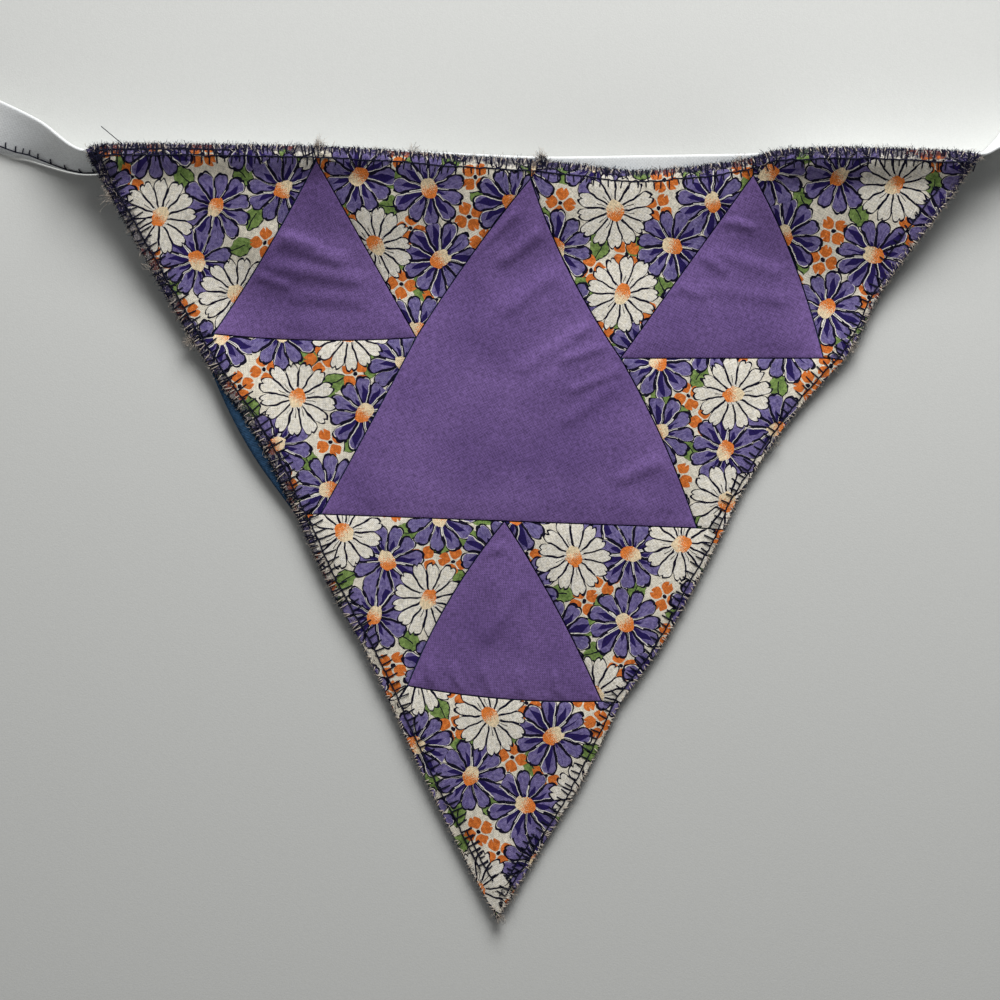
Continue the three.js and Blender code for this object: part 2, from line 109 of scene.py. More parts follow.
# The tape from above: where its fold runs, and its tilt in degrees (90 stands on its open edge).
TAIL_FLAT = HALF_LENGTH * (1 - 12 / 120)
TAPE_ROWS: list[Row] = [
    (-HALF_LENGTH, 126.5, 0), (-TAIL_FLAT, 121.6, 0), (-158, 116, 8), (-144, 110, 20),
    (-132, 104, 36), (-118, 95, 65), (-104, 95.6, 66), (-86, 96, 62), (-57, 95.5, 58),
    (-34, 95, 52), (-5, 94, 36), (14.5, 93.5, 20), (44, 94, 14), (70, 94.3, 20), (90, 94.4, 80),
    (116, 94.4, 88), (132, 94, 90), (139, 93.8, 92), (145, 96.4, 99), (155, 101, 130),
    (TAIL_FLAT, 105.6, 180), (HALF_LENGTH, 107.5, 180),
]
TOP_ROWS: list[Row] = [
    (-118, 95), (-112, 96.5), (-86, 96.5), (-53, 96), (-34, 95), (9.5, 92.5), (24, 91),
    (40.5, 89.4), (62, 91.2), (81.5, 95), (102, 95.5), (138.5, 93.5),
]
REACH_ROWS: list[Row] = [(-118, 58), (-60, 50), (0, 34), (44, 28), (80, 40), (138.5, 62)]
# The slanting raw edges by height: how far along X they are, and how far they curl up.
LEFT_ROWS: list[Row] = [
    (-126.5, 0, 1.0), (-112, -8, 1.2), (-63, -31.5, 1.8), (-9.5, -58, 2.4), (11.5, -68.5, 3.0),
    (40.5, -88, 3.6), (62.5, -100.5, 3.2), (95, -118, 0),
]
RIGHT_ROWS: list[Row] = [
    (-126.5, 0, 0.8), (-86.5, 24.5, 1.2), (-64, 35.5, 1.4), (-14, 65.5, 1.4), (18.5, 85, 1.6),
    (41.5, 104, 2.6), (93.5, 138.5, 0),
]

# How worn the slanting raw edges are by height, from 0 to 1, and how far lint reaches in at most.
LEFT_WEAR: list[Row] = [(-126.5, 0.15), (-60, 0.25), (-30, 0.5), (-9.5, 0.85), (30, 1.0), (95, 1.0)]
RIGHT_WEAR: list[Row] = [(-126.5, 0.3), (-60, 0.15), (20, 0.2), (50, 0.45), (93.5, 0.7)]
LINT_REACH = 3.0
FAR = 99.0  # a distance from an edge or a seam that has no effect any more

# Soft folds in the whole pennant: two ends, height and half width.
SOFT_FOLDS: list[tuple[Point, Point, float, float]] = [
    ((-72, 69), (-42, 62), 1.0, 4.5), ((-70, 60), (-36, 55), 0.8, 4),
    ((14, 74), (-8, 60), 0.9, 4.5), ((22, 58), (-2, 42), 0.8, 5), ((32, 40), (8, 24), 0.8, 5),
    ((42, 18), (20, 2), 0.6, 5), ((58, 64), (84, 56), 0.7, 4.5), ((-2, -22), (4, -44), 0.8, 4.5),
]
# Creases in the front's patches alone, which pucker where they were sewn.
CREASES: list[tuple[Point, Point, float, float]] = [
    ((-64, 70), (-44, 63), 0.95, 1.8), ((-66, 62), (-40, 58), 0.66, 1.6),
    ((-60, 53), (-38, 52), 0.57, 1.8), ((6, 78), (-9, 66), 0.95, 1.7),
    ((13, 72), (1, 63), 0.76, 1.5), ((17, 60), (2, 49), 0.85, 1.8), ((26, 44), (6, 32), 0.76, 1.8),
    ((34, 28), (20, 17), 0.57, 1.6), ((48, 6), (34, 0), 0.76, 1.7),
    ((62, 66), (82, 60), 0.57, 1.6), ((58, 56), (84, 52), 0.47, 1.6),
    ((2, -19), (-7, -21), 0.85, 1.4), ((8, -30), (-4, -46), 0.66, 1.8),
    ((-20, -52), (-19, -60), 0.76, 1.2), ((-13, -53), (-11, -61), 0.66, 1.2),
    ((-4, -54), (-2, -62), 0.66, 1.1), ((6, -54), (7, -63), 0.57, 1.2),
    ((16, -55), (18, -63), 0.66, 1.2), ((64, 75.5), (74, 72.8), 0.8, 1.1),
    ((59, 65), (65.6, 60.6), 0.8, 1.1), ((51.2, 56.7), (60, 53), 0.7, 1.2),
    ((29, 46.5), (22, 42), 0.7, 1.0), ((36, 32), (21, 26), 0.7, 1.2),
    ((31, 39), (18, 34.6), 0.8, 1.2), ((-65, 72), (-52, 68), 0.7, 1.1),
    ((-71, 60), (-60, 56), 0.6, 1.1),
]


def smooth(share: float) -> float:
    """Eases from 0 to 1 with level ends."""
    s = min(max(share, 0.0), 1.0)
    return s * s * (3 - 2 * s)


def along(rows: Sequence[Row], at: float, column: int) -> float:
    """Reads a smooth curve through a table's rows that never overshoots them.

    Args:
        rows: The table, in rising order of its first column.
        at: The place in the first column.
        column: The column that is read.

    Returns:
        The curve's value there.
    """
    last = len(rows) - 1
    here = min(max(at, rows[0][0]), rows[last][0])
    i = min(max(bisect.bisect_left(rows, (here,)) - 1, 0), last - 1)

    def rise(j: int) -> float:
        """The slope from row j to the next."""
        return (rows[j + 1][column] - rows[j][column]) / (rows[j + 1][0] - rows[j][0])

    def slope(j: int) -> float:
        """The curve's slope at row j."""
        if j in (0, last):
            return 0.0
        before, after = rise(j - 1), rise(j)
        return 2 * before * after / (before + after) if before * after > 0 else 0.0

    span = rows[i + 1][0] - rows[i][0]
    t = (here - rows[i][0]) / span
    lean = t * (1 - t) * span * ((1 - t) * slope(i) - t * slope(i + 1))
    return rows[i][column] + (rows[i + 1][column] - rows[i][column]) * smooth(t) + lean


def wear(x: float, y: float) -> float:
    """How worn the raw edge nearest to a place is, from 0 to 1."""
    if y > along(TOP_ROWS, x, 1) - 5:
        return 1.0
    return along(LEFT_WEAR if x < 0 else RIGHT_WEAR, y, 1)


def fold_rise(fold: tuple[Point, Point, float, float], x: float, y: float) -> float:
    """The height of one soft fold or crease at a place.

    Args:
        fold: Its two ends, height and half width.
        x: The place along the tape.
        y: The place up the pennant.

    Returns:
        Its height there, full along its middle and easing off at its sides and ends.
    """
    start, stop, height, width = fold
    dx, dy = stop[0] - start[0], stop[1] - start[1]
    length = math.hypot(dx, dy)
    run = ((x - start[0]) * dx + (y - start[1]) * dy) / length
    aside = abs((x - start[0]) * dy - (y - start[1]) * dx) / length
    if aside > 2 * width:
        return 0.0
    end = 1.5 * width
    ease = smooth((run + end) / (2 * end)) * smooth((length + end - run) / (2 * end))
    return height * smooth(1 - aside / (2 * width)) * ease


@dataclass(frozen=True)
class TapeSection:
    """The folded tape across its width, and how it stands at each tilt."""

    width: float = 16
    lip: float = 1.5
    half: float = 0.8  # half of the folded tape's thickness
    layer: float = 0.38  # the cloth alone
    bend: float = 0.5  # the fold's radius, to the middle of the cloth
    closing: float = 0.1  # how far each layer closes up past the fold, and within what distance
    closing_reach: float = 4

    def fold_height(self, tilt: float) -> float:
        """How high the fold is when the tape's lowest edge touches the floor, for a tilt."""
        outer = [(self.width, -self.half), (self.width - self.lip, self.half), (0.0, 0.0)]
        outer += [(self.half, -self.half), (self.half, self.half)]
        return max(i * math.sin(tilt) - o * math.cos(tilt) for i, o in outer)

    def across(self, s: float) -> Point:
        """Where a point of the flat tape lies in the folded section.

        Args:
            s: How far the point is from the fold, in the flat tape, negative on the back layer.

        Returns:
            How far in from the fold it lies, and how far out of the middle plane.
        """
        quarter = self.bend * math.pi / 2
        side = math.copysign(1, s)
        if abs(s) < quarter:
            angle = s / self.bend
            return self.bend * (1 - math.cos(angle)), self.bend * math.sin(angle)
        deep = abs(s) - quarter
        return self.bend + deep, side * (
            self.bend - self.closing * smooth(deep / self.closing_reach)
        )


TAPE = TapeSection()


@dataclass(frozen=True)
class LyingCloth:
    """How the pennant lies: the height of its underside over the floor."""

    left_reach: float = 24  # how far in from the edge the left curl reaches
    right_reach: float = 18
    past_fold: float = 1.2  # how far past the tape's fold the cloth starts to drop
    band_drop: float = 9  # within what distance it drops beside a standing tape
    band_share: float = 0.3  # and by what share of its height
    clear: float = 0.8  # between the tape and the backing
    steep: float = 0.3  # the cosine of the tilt from which the tape counts as standing

    def top_height(self, x: float) -> float:
        """The height that the backing keeps over the tape at the raw top edge."""
        tilt = math.radians(along(TAPE_ROWS, x, 2))
        below = max(along(TAPE_ROWS, x, 1) - along(TOP_ROWS, x, 1), 0)
        crest = TAPE.fold_height(tilt) + TAPE.half * abs(math.cos(tilt))
        slide = below * math.tan(tilt) if math.cos(tilt) > self.steep else 0
        return crest - slide + self.clear

    def lift(self, x: float, y: float) -> float:
        """The height of the backing's underside.

        Args:
            x: The place along the tape.
            y: The place up the pennant.

        Returns:
            The height there, in millimetres.
        """
        top_y = along(TOP_ROWS, x, 1)
        down = max(top_y - y, 0)
        tilt = math.radians(along(TAPE_ROWS, x, 2))
        over = max(top_y - along(TAPE_ROWS, x, 1), 0) + self.past_fold
        band = self.band_share * math.sin(tilt) ** 2
        ease = 1 - smooth(down / along(REACH_ROWS, x, 1))
        steep = 1 - smooth((down - over) / self.band_drop)
        top = self.top_height(x) * ((1 - band) * ease + band * steep) if ease + steep else 0.0
        from_left = x - along(LEFT_ROWS, y, 1)
        from_right = along(RIGHT_ROWS, y, 1) - x
        curl = along(LEFT_ROWS, y, 2) * (1 - smooth(from_left / self.left_reach))
        curl += along(RIGHT_ROWS, y, 2) * (1 - smooth(from_right / self.right_reach))
        folds = sum(fold_rise(fold, x, y) for fold in SOFT_FOLDS)
        return top + curl * (1 - ease) + folds


CLOTH = LyingCloth()


@dataclass(frozen=True)
class FrontFace:
    """The height of the front's face, which puffs up a little between its seams."""

    base: float = 1.3  # the patches' underside over the backing's, at a seam or a raw edge
    thickness: float = 0.4
    roll: float = 0.35  # how far the cloth rolls up right beside a seam
    puff: float = 0.45  # and how far it rises on towards a patch's middle
    puff_reach: float = 6
    roll_reach: float = 0.55
    crease_reach: float = 3  # how far from a seam or an edge a crease is full
    wave: float = 0.20  # the cloth's own unevenness, and its size
    wave_size: float = 7
    pucker: float = 0.12  # the small puckers along the seams, their size and reach
    pucker_size: float = 2.6
    pucker_reach: float = 4

    def height(self, x: float, y: float, raw: float, seam: float = FAR) -> float:
        """The face's height over the floor.

        Args:
            x: The place along the tape.
            y: The place up the pennant.
            raw: How far the nearest raw edge is.
            seam: How far the nearest seam is.

        Returns:
            The height in millimetres.
        """
        near = min(seam, raw)
        height = CLOTH.lift(x, y) + self.base + self.thickness
        rolled = 1 - math.exp(-seam / self.roll_reach)
        height += self.roll * rolled * smooth((raw + 0.5) / 4)
        height += self.puff * smooth(near / self.puff_reach)
        creases = sum(fold_rise(fold, x, y) for fold in CREASES)
        height += creases * smooth(near / self.crease_reach)
        # Small puckers run in from the seams, and the cloth is nowhere quite flat.
        spot = Vector((x, y, 0))
        height += self.wave * noise.noise(spot / self.wave_size) * smooth(near / 4)
        fade = math.exp(-seam / self.pucker_reach) * smooth(seam)
        return height + self.pucker * noise.noise(spot / self.pucker_size) * fade


FRONT = FrontFace()


# ---------------------------------------------------------------------------------------------
# Seams and raw edges as measured lines.
# ---------------------------------------------------------------------------------------------


@dataclass
class Line:
    """A seam or a raw edge: a line through close points, read by its share or its length."""

    points: list[Vector]
    steps: int
    raw: bool
    lengths: list[float] = field(init=False)

    def __post_init__(self) -> None:
        """Measures the line."""
        self.lengths = [0.0]
        for a, b in zip(self.points, self.points[1:]):
            self.lengths.append(self.lengths[-1] + (b - a).length)

    @property
    def length(self) -> float:
        """The line's whole length."""
        return self.lengths[-1]

    def at(self, distance: float) -> Vector:
        """The point that far along the line."""
        d = min(max(distance, 0.0), self.length)
        i = min(max(bisect.bisect_left(self.lengths, d) - 1, 0), len(self.points) - 2)
        span = self.lengths[i + 1] - self.lengths[i]
        return self.points[i].lerp(self.points[i + 1], (d - self.lengths[i]) / max(span, 1e-9))

    def heading(self, distance: float) -> Vector:
        """The line's direction there, of length 1, taken over a short stretch."""
        reach = 0.8
        return (self.at(distance + reach) - self.at(distance - reach)).normalized()

    def back(self) -> "Line":
        """The same line, run the other way."""
        return Line(self.points[::-1], self.steps, self.raw)


@dataclass
class Plan:
    """All the seams and raw edges of the pennant, found by the corners that they join."""

    samples: int = 48
    lines: dict[tuple[str, str], Line] = field(default_factory=dict)

    def __post_init__(self) -> None:
        """Draws every line."""
        for start, stop, bow in SEAMS:
            a, b = Vector(CORNERS[start]), Vector(CORNERS[stop])
            run = (b - a).normalized()
            control = (a + b) / 2 + Vector((-run.y, run.x)) * 2 * bow
            shares = [i / self.samples for i in range(self.samples + 1)]
            points = [a * (1 - t) ** 2 + control * 2 * t * (1 - t) + b * t * t for t in shares]
            self.keep(start, stop, Line(points, SEAM_STEPS, False))
        for start, stop in SEAM_ENDS:
            ends = [Vector(CORNERS[start]), Vector(CORNERS[stop])]
            self.keep(start, stop, Line(ends, 1, False))
        for start, stop, extra, by in RAW_EDGES:
            knots = [Vector(p) for p in (CORNERS[start], *by, CORNERS[stop])]
            self.keep(start, stop, Line(self.spline(knots), SEAM_STEPS + extra, True))

    def keep(self, start: str, stop: str, line: Line) -> None:
        """Files a line both ways round."""
        self.lines[start, stop] = line
        self.lines[stop, start] = line.back()

    def spline(self, knots: list[Vector]) -> list[Vector]:
        """A smooth line through its knots.

        Args:
            knots: The points that it passes.

        Returns:
            Close points along it.
        """
        points = [knots[0]]
        last = len(knots) - 1
        for i in range(last):
            p0, p1, p2, p3 = (knots[min(max(i + j, 0), last)] for j in (-1, 0, 1, 2))
            v1, v2 = (p2 - p0) / 2, (p3 - p1) / 2
            for j in range(1, self.samples // 3 + 1):
                t = j / (self.samples // 3)
                curve = (p1 - p2) * 2 + v1 + v2
                bend = (p2 - p1) * 3 - v1 * 2 - v2
                points.append(curve * t**3 + bend * t * t + v1 * t + p1)
        return points

    def chain(self, names: Sequence[str]) -> list[Line]:
        """The lines of one side, in order."""
        return [self.lines[a, b] for a, b in zip(names, names[1:])]

    def edge(self, names: Sequence[str]) -> Line:
        """One long raw edge, joined from its lines."""
        points = [Vector(CORNERS[names[0]])]
        for line in self.chain(names):
            points += line.points[1:]
        return Line(points, 1, True)


PLAN = Plan()


@dataclass
class Side:
    """One side of a patch: its lines end to end, each with its number of steps."""

    names: list[str]
    lines: list[Line] = field(init=False)

    def __post_init__(self) -> None:
        """Finds the lines."""
        self.lines = PLAN.chain(self.names)

    @property
    def raw(self) -> bool:
        """Whether it is a raw edge."""
        return self.lines[0].raw and self.lines[-1].raw

    @property
    def start(self) -> Vector:
        """Its first point."""
        return self.lines[0].points[0]

    def at(self, share: float) -> Vector:
        """The point at that share of the side's steps."""
        place = min(max(share, 0.0), 1.0) * sum(line.steps for line in self.lines)
        for line in self.lines[:-1]:
            if place <= line.steps:
                return line.at(line.length * place / line.steps)
            place -= line.steps
        last = self.lines[-1]
        return last.at(last.length * place / last.steps)

    def offset(self, share: float) -> Vector:
        """How far the side stands off the straight line between its ends there."""
        straight = self.start.lerp(self.lines[-1].points[-1], min(max(share, 0.0), 1.0))
        return self.at(share) - straight


# ---------------------------------------------------------------------------------------------
# Finishes.
# ---------------------------------------------------------------------------------------------

Colour = tuple[float, float, float, float]


def linear(value: str) -> Colour:
    """An sRGB hex colour, such as "6d5296", as linear light with full opacity."""
    parts = [int(value[i : i + 2], 16) / 255 for i in (0, 2, 4)]
    lit = [p / 12.92 if p <= 0.04045 else ((p + 0.055) / 1.055) ** 2.4 for p in parts]
    return (lit[0], lit[1], lit[2], 1.0)


Socket = bpy.types.NodeSocket
Spot = tuple[Socket, Socket]  # a point round a motif's centre, and the motif's turn
MATH = "ShaderNodeMath"
VECTOR = "ShaderNodeVectorMath"
SPOTS = "ShaderNodeTexNoise"
FLAT = {"noise_dimensions": "2D"}
SIZED = ("Vector", "Scale", "Detail")


@dataclass(frozen=True)
class Kind:
    """A kind of shader node: its type, operation, other settings, inputs in turn and output."""

    type: str
    operation: str = ""
    settings: dict[str, str] = field(default_factory=dict)
    inputs: tuple[int | str, ...] = (0, 1, 2)
    out: int | str = 0


class Node(Enum):
    """The shader nodes that the materials are made of."""

    ABSOLUTE = Kind(MATH, "ABSOLUTE")
    ADD = Kind(MATH, "ADD")
    ARCTAN2 = Kind(MATH, "ARCTAN2")
    DIVIDE = Kind(MATH, "DIVIDE")
    FLOOR = Kind(MATH, "FLOOR")
    FRACT = Kind(MATH, "FRACT")
    GREATER_THAN = Kind(MATH, "GREATER_THAN")
    LESS_THAN = Kind(MATH, "LESS_THAN")
    MAXIMUM = Kind(MATH, "MAXIMUM")
    MINIMUM = Kind(MATH, "MINIMUM")
    MULTIPLY = Kind(MATH, "MULTIPLY")
    MULTIPLY_ADD = Kind(MATH, "MULTIPLY_ADD")
    POWER = Kind(MATH, "POWER")
    SINE = Kind(MATH, "SINE")
    SUBTRACT = Kind(MATH, "SUBTRACT")
    VECTOR_ABSOLUTE = Kind(VECTOR, "ABSOLUTE")
    VECTOR_ADD = Kind(VECTOR, "ADD")
    VECTOR_DOT_PRODUCT = Kind(VECTOR, "DOT_PRODUCT", out="Value")
    VECTOR_LENGTH = Kind(VECTOR, "LENGTH", out="Value")
    VECTOR_MULTIPLY = Kind(VECTOR, "MULTIPLY")
    VECTOR_SCALE = Kind(VECTOR, "SCALE", inputs=(0, 3))
    VECTOR_SINE = Kind(VECTOR, "SINE")
    VECTOR_SUBTRACT = Kind(VECTOR, "SUBTRACT")
    VECTOR_WRAP = Kind(VECTOR, "WRAP")
    MIX = Kind("ShaderNodeMix", "", {"data_type": "RGBA"}, (0, 6, 7), 2)
    MIX_VECTOR = Kind("ShaderNodeMix", "", {"data_type": "VECTOR"}, (0, 4, 5), 1)
    NOISE = Kind(SPOTS, "", {}, SIZED)
    FLAT_NOISE = Kind(SPOTS, "", FLAT, SIZED)
    FLAT_NOISE_COLOUR = Kind(SPOTS, "", FLAT, SIZED, "Color")
    CHANCE = Kind("ShaderNodeTexWhiteNoise", "", {"noise_dimensions": "1D"}, ("W",), "Value")
    RANGE = Kind("ShaderNodeMapRange", inputs=("Value", 1, 2, 3, 4))
    SPLIT = Kind("ShaderNodeSeparateXYZ")
    JOIN = Kind("ShaderNodeCombineXYZ")
    TURN = Kind("ShaderNodeVectorRotate", "", {"rotation_type": "Z_AXIS"}, ("Vector", "Angle"))
    CLOTH_UV = Kind("ShaderNodeUVMap", "", {"uv_map": "cloth"})
    TO_RAW_EDGE = Kind("ShaderNodeAttribute", "", {"attribute_name": "raw"}, out="Fac")
    OBJECT_PLACE = Kind("ShaderNodeTexCoord", out="Object")
    BUMP = Kind("ShaderNodeBump", inputs=("Height", "Strength", "Distance"))
    SHADER = Kind(
        "ShaderNodeBsdfPrincipled",
        inputs=("Base Color", "Normal", "Roughness", "Specular IOR Level"),
    )
    OUTPUT = Kind("ShaderNodeOutputMaterial")


@dataclass
class Dye:
    """A new material and the node tree that colours it."""

    name: str

    def __post_init__(self) -> None:
        """Makes the material without any node."""
        self.material = bpy.data.materials.new(self.name)
        self.material.use_nodes = True
        self.tree = self.material.node_tree
        self.tree.nodes.clear()

    def add(self, node: Node, *links: Any) -> Socket:
        """Adds a node.

        Args:
            node: Its kind, which has its settings.
            links: For its inputs in turn, the socket that feeds each or its fixed value.

        Returns:
            The output that the kind names, if it has one.
        """
        kind = node.value
        made = self.tree.nodes.new(kind.type)
        if kind.operation:
            made.operation = kind.operation
        for key, value in kind.settings.items():
            setattr(made, key, value)
        for key, value in zip(kind.inputs, links):
            if isinstance(value, Socket):
                self.tree.links.new(value, made.inputs[key])
            else:
                made.inputs[key].default_value = value
        return made.outputs[kind.out] if made.outputs else None

    def split(self, vector: Socket) -> tuple[Socket, Socket, Socket]:
        """The three coordinates of a vector."""
        return tuple(self.add(Node.SPLIT, vector).node.outputs)

    def depths(self, grain: Socket, shade: str, deep: str, spread: float = 0.15) -> Socket:
        """Mixes two depths of one colour.

        Args:
            grain: The noise that mixes them.
            shade: The lighter one.
            deep: The deeper one.
            spread: How soft the change is, as the noise's distance from its middle.

        Returns:
            The colour.
        """
        share = self.add(Node.RANGE, grain, 0.5 - spread, 0.5 + spread)
        return self.add(Node.MIX, share, linear(shade), linear(deep))

    def surface(
        self, colour: Socket, relief: tuple[Socket, float, float], roughness: float, gloss: float
    ) -> bpy.types.Material:
        """Ends the material.

        Args:
            colour: Its colour.
            relief: The height of its relief, how strong it is, and how deep in metres.
            roughness: How rough it is.
            gloss: How much it mirrors.

        Returns:
            The material.
        """
        bump = self.add(Node.BUMP, *relief)
        shader = self.add(Node.SHADER, colour, bump, roughness, gloss)
        self.add(Node.OUTPUT, shader)
        return self.material


@dataclass(frozen=True)
class WovenCotton:
    """Plain-woven cotton, which is matt, with a faint grid of threads and slubs along them.

    The real threads are about 0.3 mm apart, too fine to show, so they are drawn as coarse as
    thread says.
    """

    name: str
    thread: float = 0.32  # between two threads, in millimetres
    slub_width: float = 0.34  # a slub's size, in millimetres
    slub_length: float = 1.7
    roughness: float = 0.88
    gloss: float = 0.12
    relief: float = 0.5
    speckle: float = 0.30  # how much lighter the weave's crests and darker its hollows are: partly the threads' own uneven dye, partly painted shade

    def ground(self, dye: Dye, uv: Socket) -> Socket:
        """The cloth's colour before its weave. A finish of its own gives this."""
        raise NotImplementedError

    def weave(self, dye: Dye, uv: Socket) -> tuple[Socket, Socket]:
        """The weave's relief, and the threads' uneven colour with painted shade in the weave's
        hollows.

        Args:
            dye: The material.
            uv: Where on the flat cloth the point is.

        Returns:
            A height, and a factor for the colour, which is lower where the height is low.
        """
        grid = dye.add(Node.VECTOR_SCALE, uv, math.pi * REPEAT / self.thread)
        x, y, _ = dye.split(dye.add(Node.VECTOR_SINE, grid))
        crossing = dye.add(Node.MULTIPLY, x, y)
        fine, long = REPEAT / self.slub_width, REPEAT / self.slub_length
        warp = dye.add(Node.VECTOR_MULTIPLY, uv, (fine, long, 1))
        weft = dye.add(Node.VECTOR_MULTIPLY, uv, (long, fine, 1))
        slubs = [dye.add(Node.FLAT_NOISE, threads, 1.0, 1.0) for threads in (warp, weft)]
        height = dye.add(Node.MULTIPLY_ADD, crossing, 0.28, dye.add(Node.ADD, *slubs))
        # The colour follows the relief: crests lighter, hollows darker, partly the threads' own
        # uneven dye and partly painted shade in the weave.
        low, high = 1 - self.speckle, 1 + self.speckle
        thread_tone_and_shade = dye.add(Node.RANGE, height, 0.6, 1.4, low, high)
        return height, thread_tone_and_shade

    def make(self) -> bpy.types.Material:
        """Makes the material."""
        dye = Dye(self.name)
        uv = dye.add(Node.CLOTH_UV)
        height, thread_tone_and_shade = self.weave(dye, uv)
        # The ground colour is darkened in the weave's hollows by painted shade and the threads'
        # uneven dye.
        colour = dye.add(Node.VECTOR_SCALE, self.ground(dye, uv), thread_tone_and_shade)
        return dye.surface(colour, (height, self.relief, 0.00012), self.roughness, self.gloss)


@dataclass(frozen=True)
class PlainCotton(WovenCotton):
    """Cotton dyed in one colour before weaving, so its threads differ a little in depth, and the
    weave's hollows are painted darker as shade.
    """

    shade: str = "735b91"
    deep: str = "644e81"
    speckle: float = 0.36
    mottle: float = 22  # the size of the soft uneven patches in the dye, in millimetres

    def ground(self, dye: Dye, uv: Socket) -> Socket:
        """Two depths of the dye, mixed by soft patches."""
        cloud = dye.add(Node.FLAT_NOISE, uv, REPEAT / self.mottle, 3.0)
        return dye.depths(cloud, self.shade, self.deep, 0.2)


# The print's motifs were set out in its repeat: X, Y and turn, from 0 to 1.
VIOLET_DAISIES: list[Row] = [
    (9, 11, 0.10), (22, 28, 0.45), (42, 14, 0.80), (26, 48, 0.25), (47, 36, 0.60), (8, 58, 0.92),
    (60, 23, 0.35), (40, 62, 0.70),
]
CREAM_DAISIES: list[Row] = [(27, 8, 0.3), (6, 38, 0.7), (53, 55, 0.1)]
ORANGE_FLOWERS: list[Row] = [
    (58, 7, 0.1), (35.5, 28, 0.2), (58.5, 37.5, 0.75), (63.5, 47.5, 0.15), (17, 17.5, 0.5),
    (39.5, 46.5, 0.3), (20.8, 60.5, 0.4), (9, 25, 0.2), (29.5, 61, 0.7), (62, 63.5, 0.6),
    (17, 39, 0.45), (34, 36.5, 0.85),
]
LEAVES: list[Row] = [
    (51.5, 4.5, 0.9), (53.5, 13.5, 0.8), (31.5, 20.5, 0.6), (48, 24.5, 0.1), (39, 39.5, 0.65),
    (14, 47, 0.05), (56.5, 44, 0.7), (17.5, 2, 0.15), (63.5, 12.5, 0.2), (12, 32, 0.35),
    (35, 53.5, 0.45), (17.5, 53.5, 0.5), (24.5, 56, 0.4), (14, 22, 0.75), (0.5, 51.5, 0.3),
    (53, 46.5, 0.5), (60.5, 32.5, 0.55),
]


@dataclass(frozen=True)
class Daisy:
    """A printed daisy, in millimetres."""

    petals: int
    radius: float
    parting: float  # the share of the radius out to which unprinted cloth parts the petals
    line: float  # the outline's width on a petal's fine side, doubled on its heavy side
    notch: float  # how deep the end of a petal is notched
    fill: str
    fill_deep: str
    wedge: str | None = None  # the dark wedges in the petals, if there are any
    shortest: float = 0.86  # the shortest petal's share of the radius
    rounding: float = 0.24  # how far a petal's end is rounded off, as a share of the radius
    eye: float = 0.23  # the centre's share of the radius


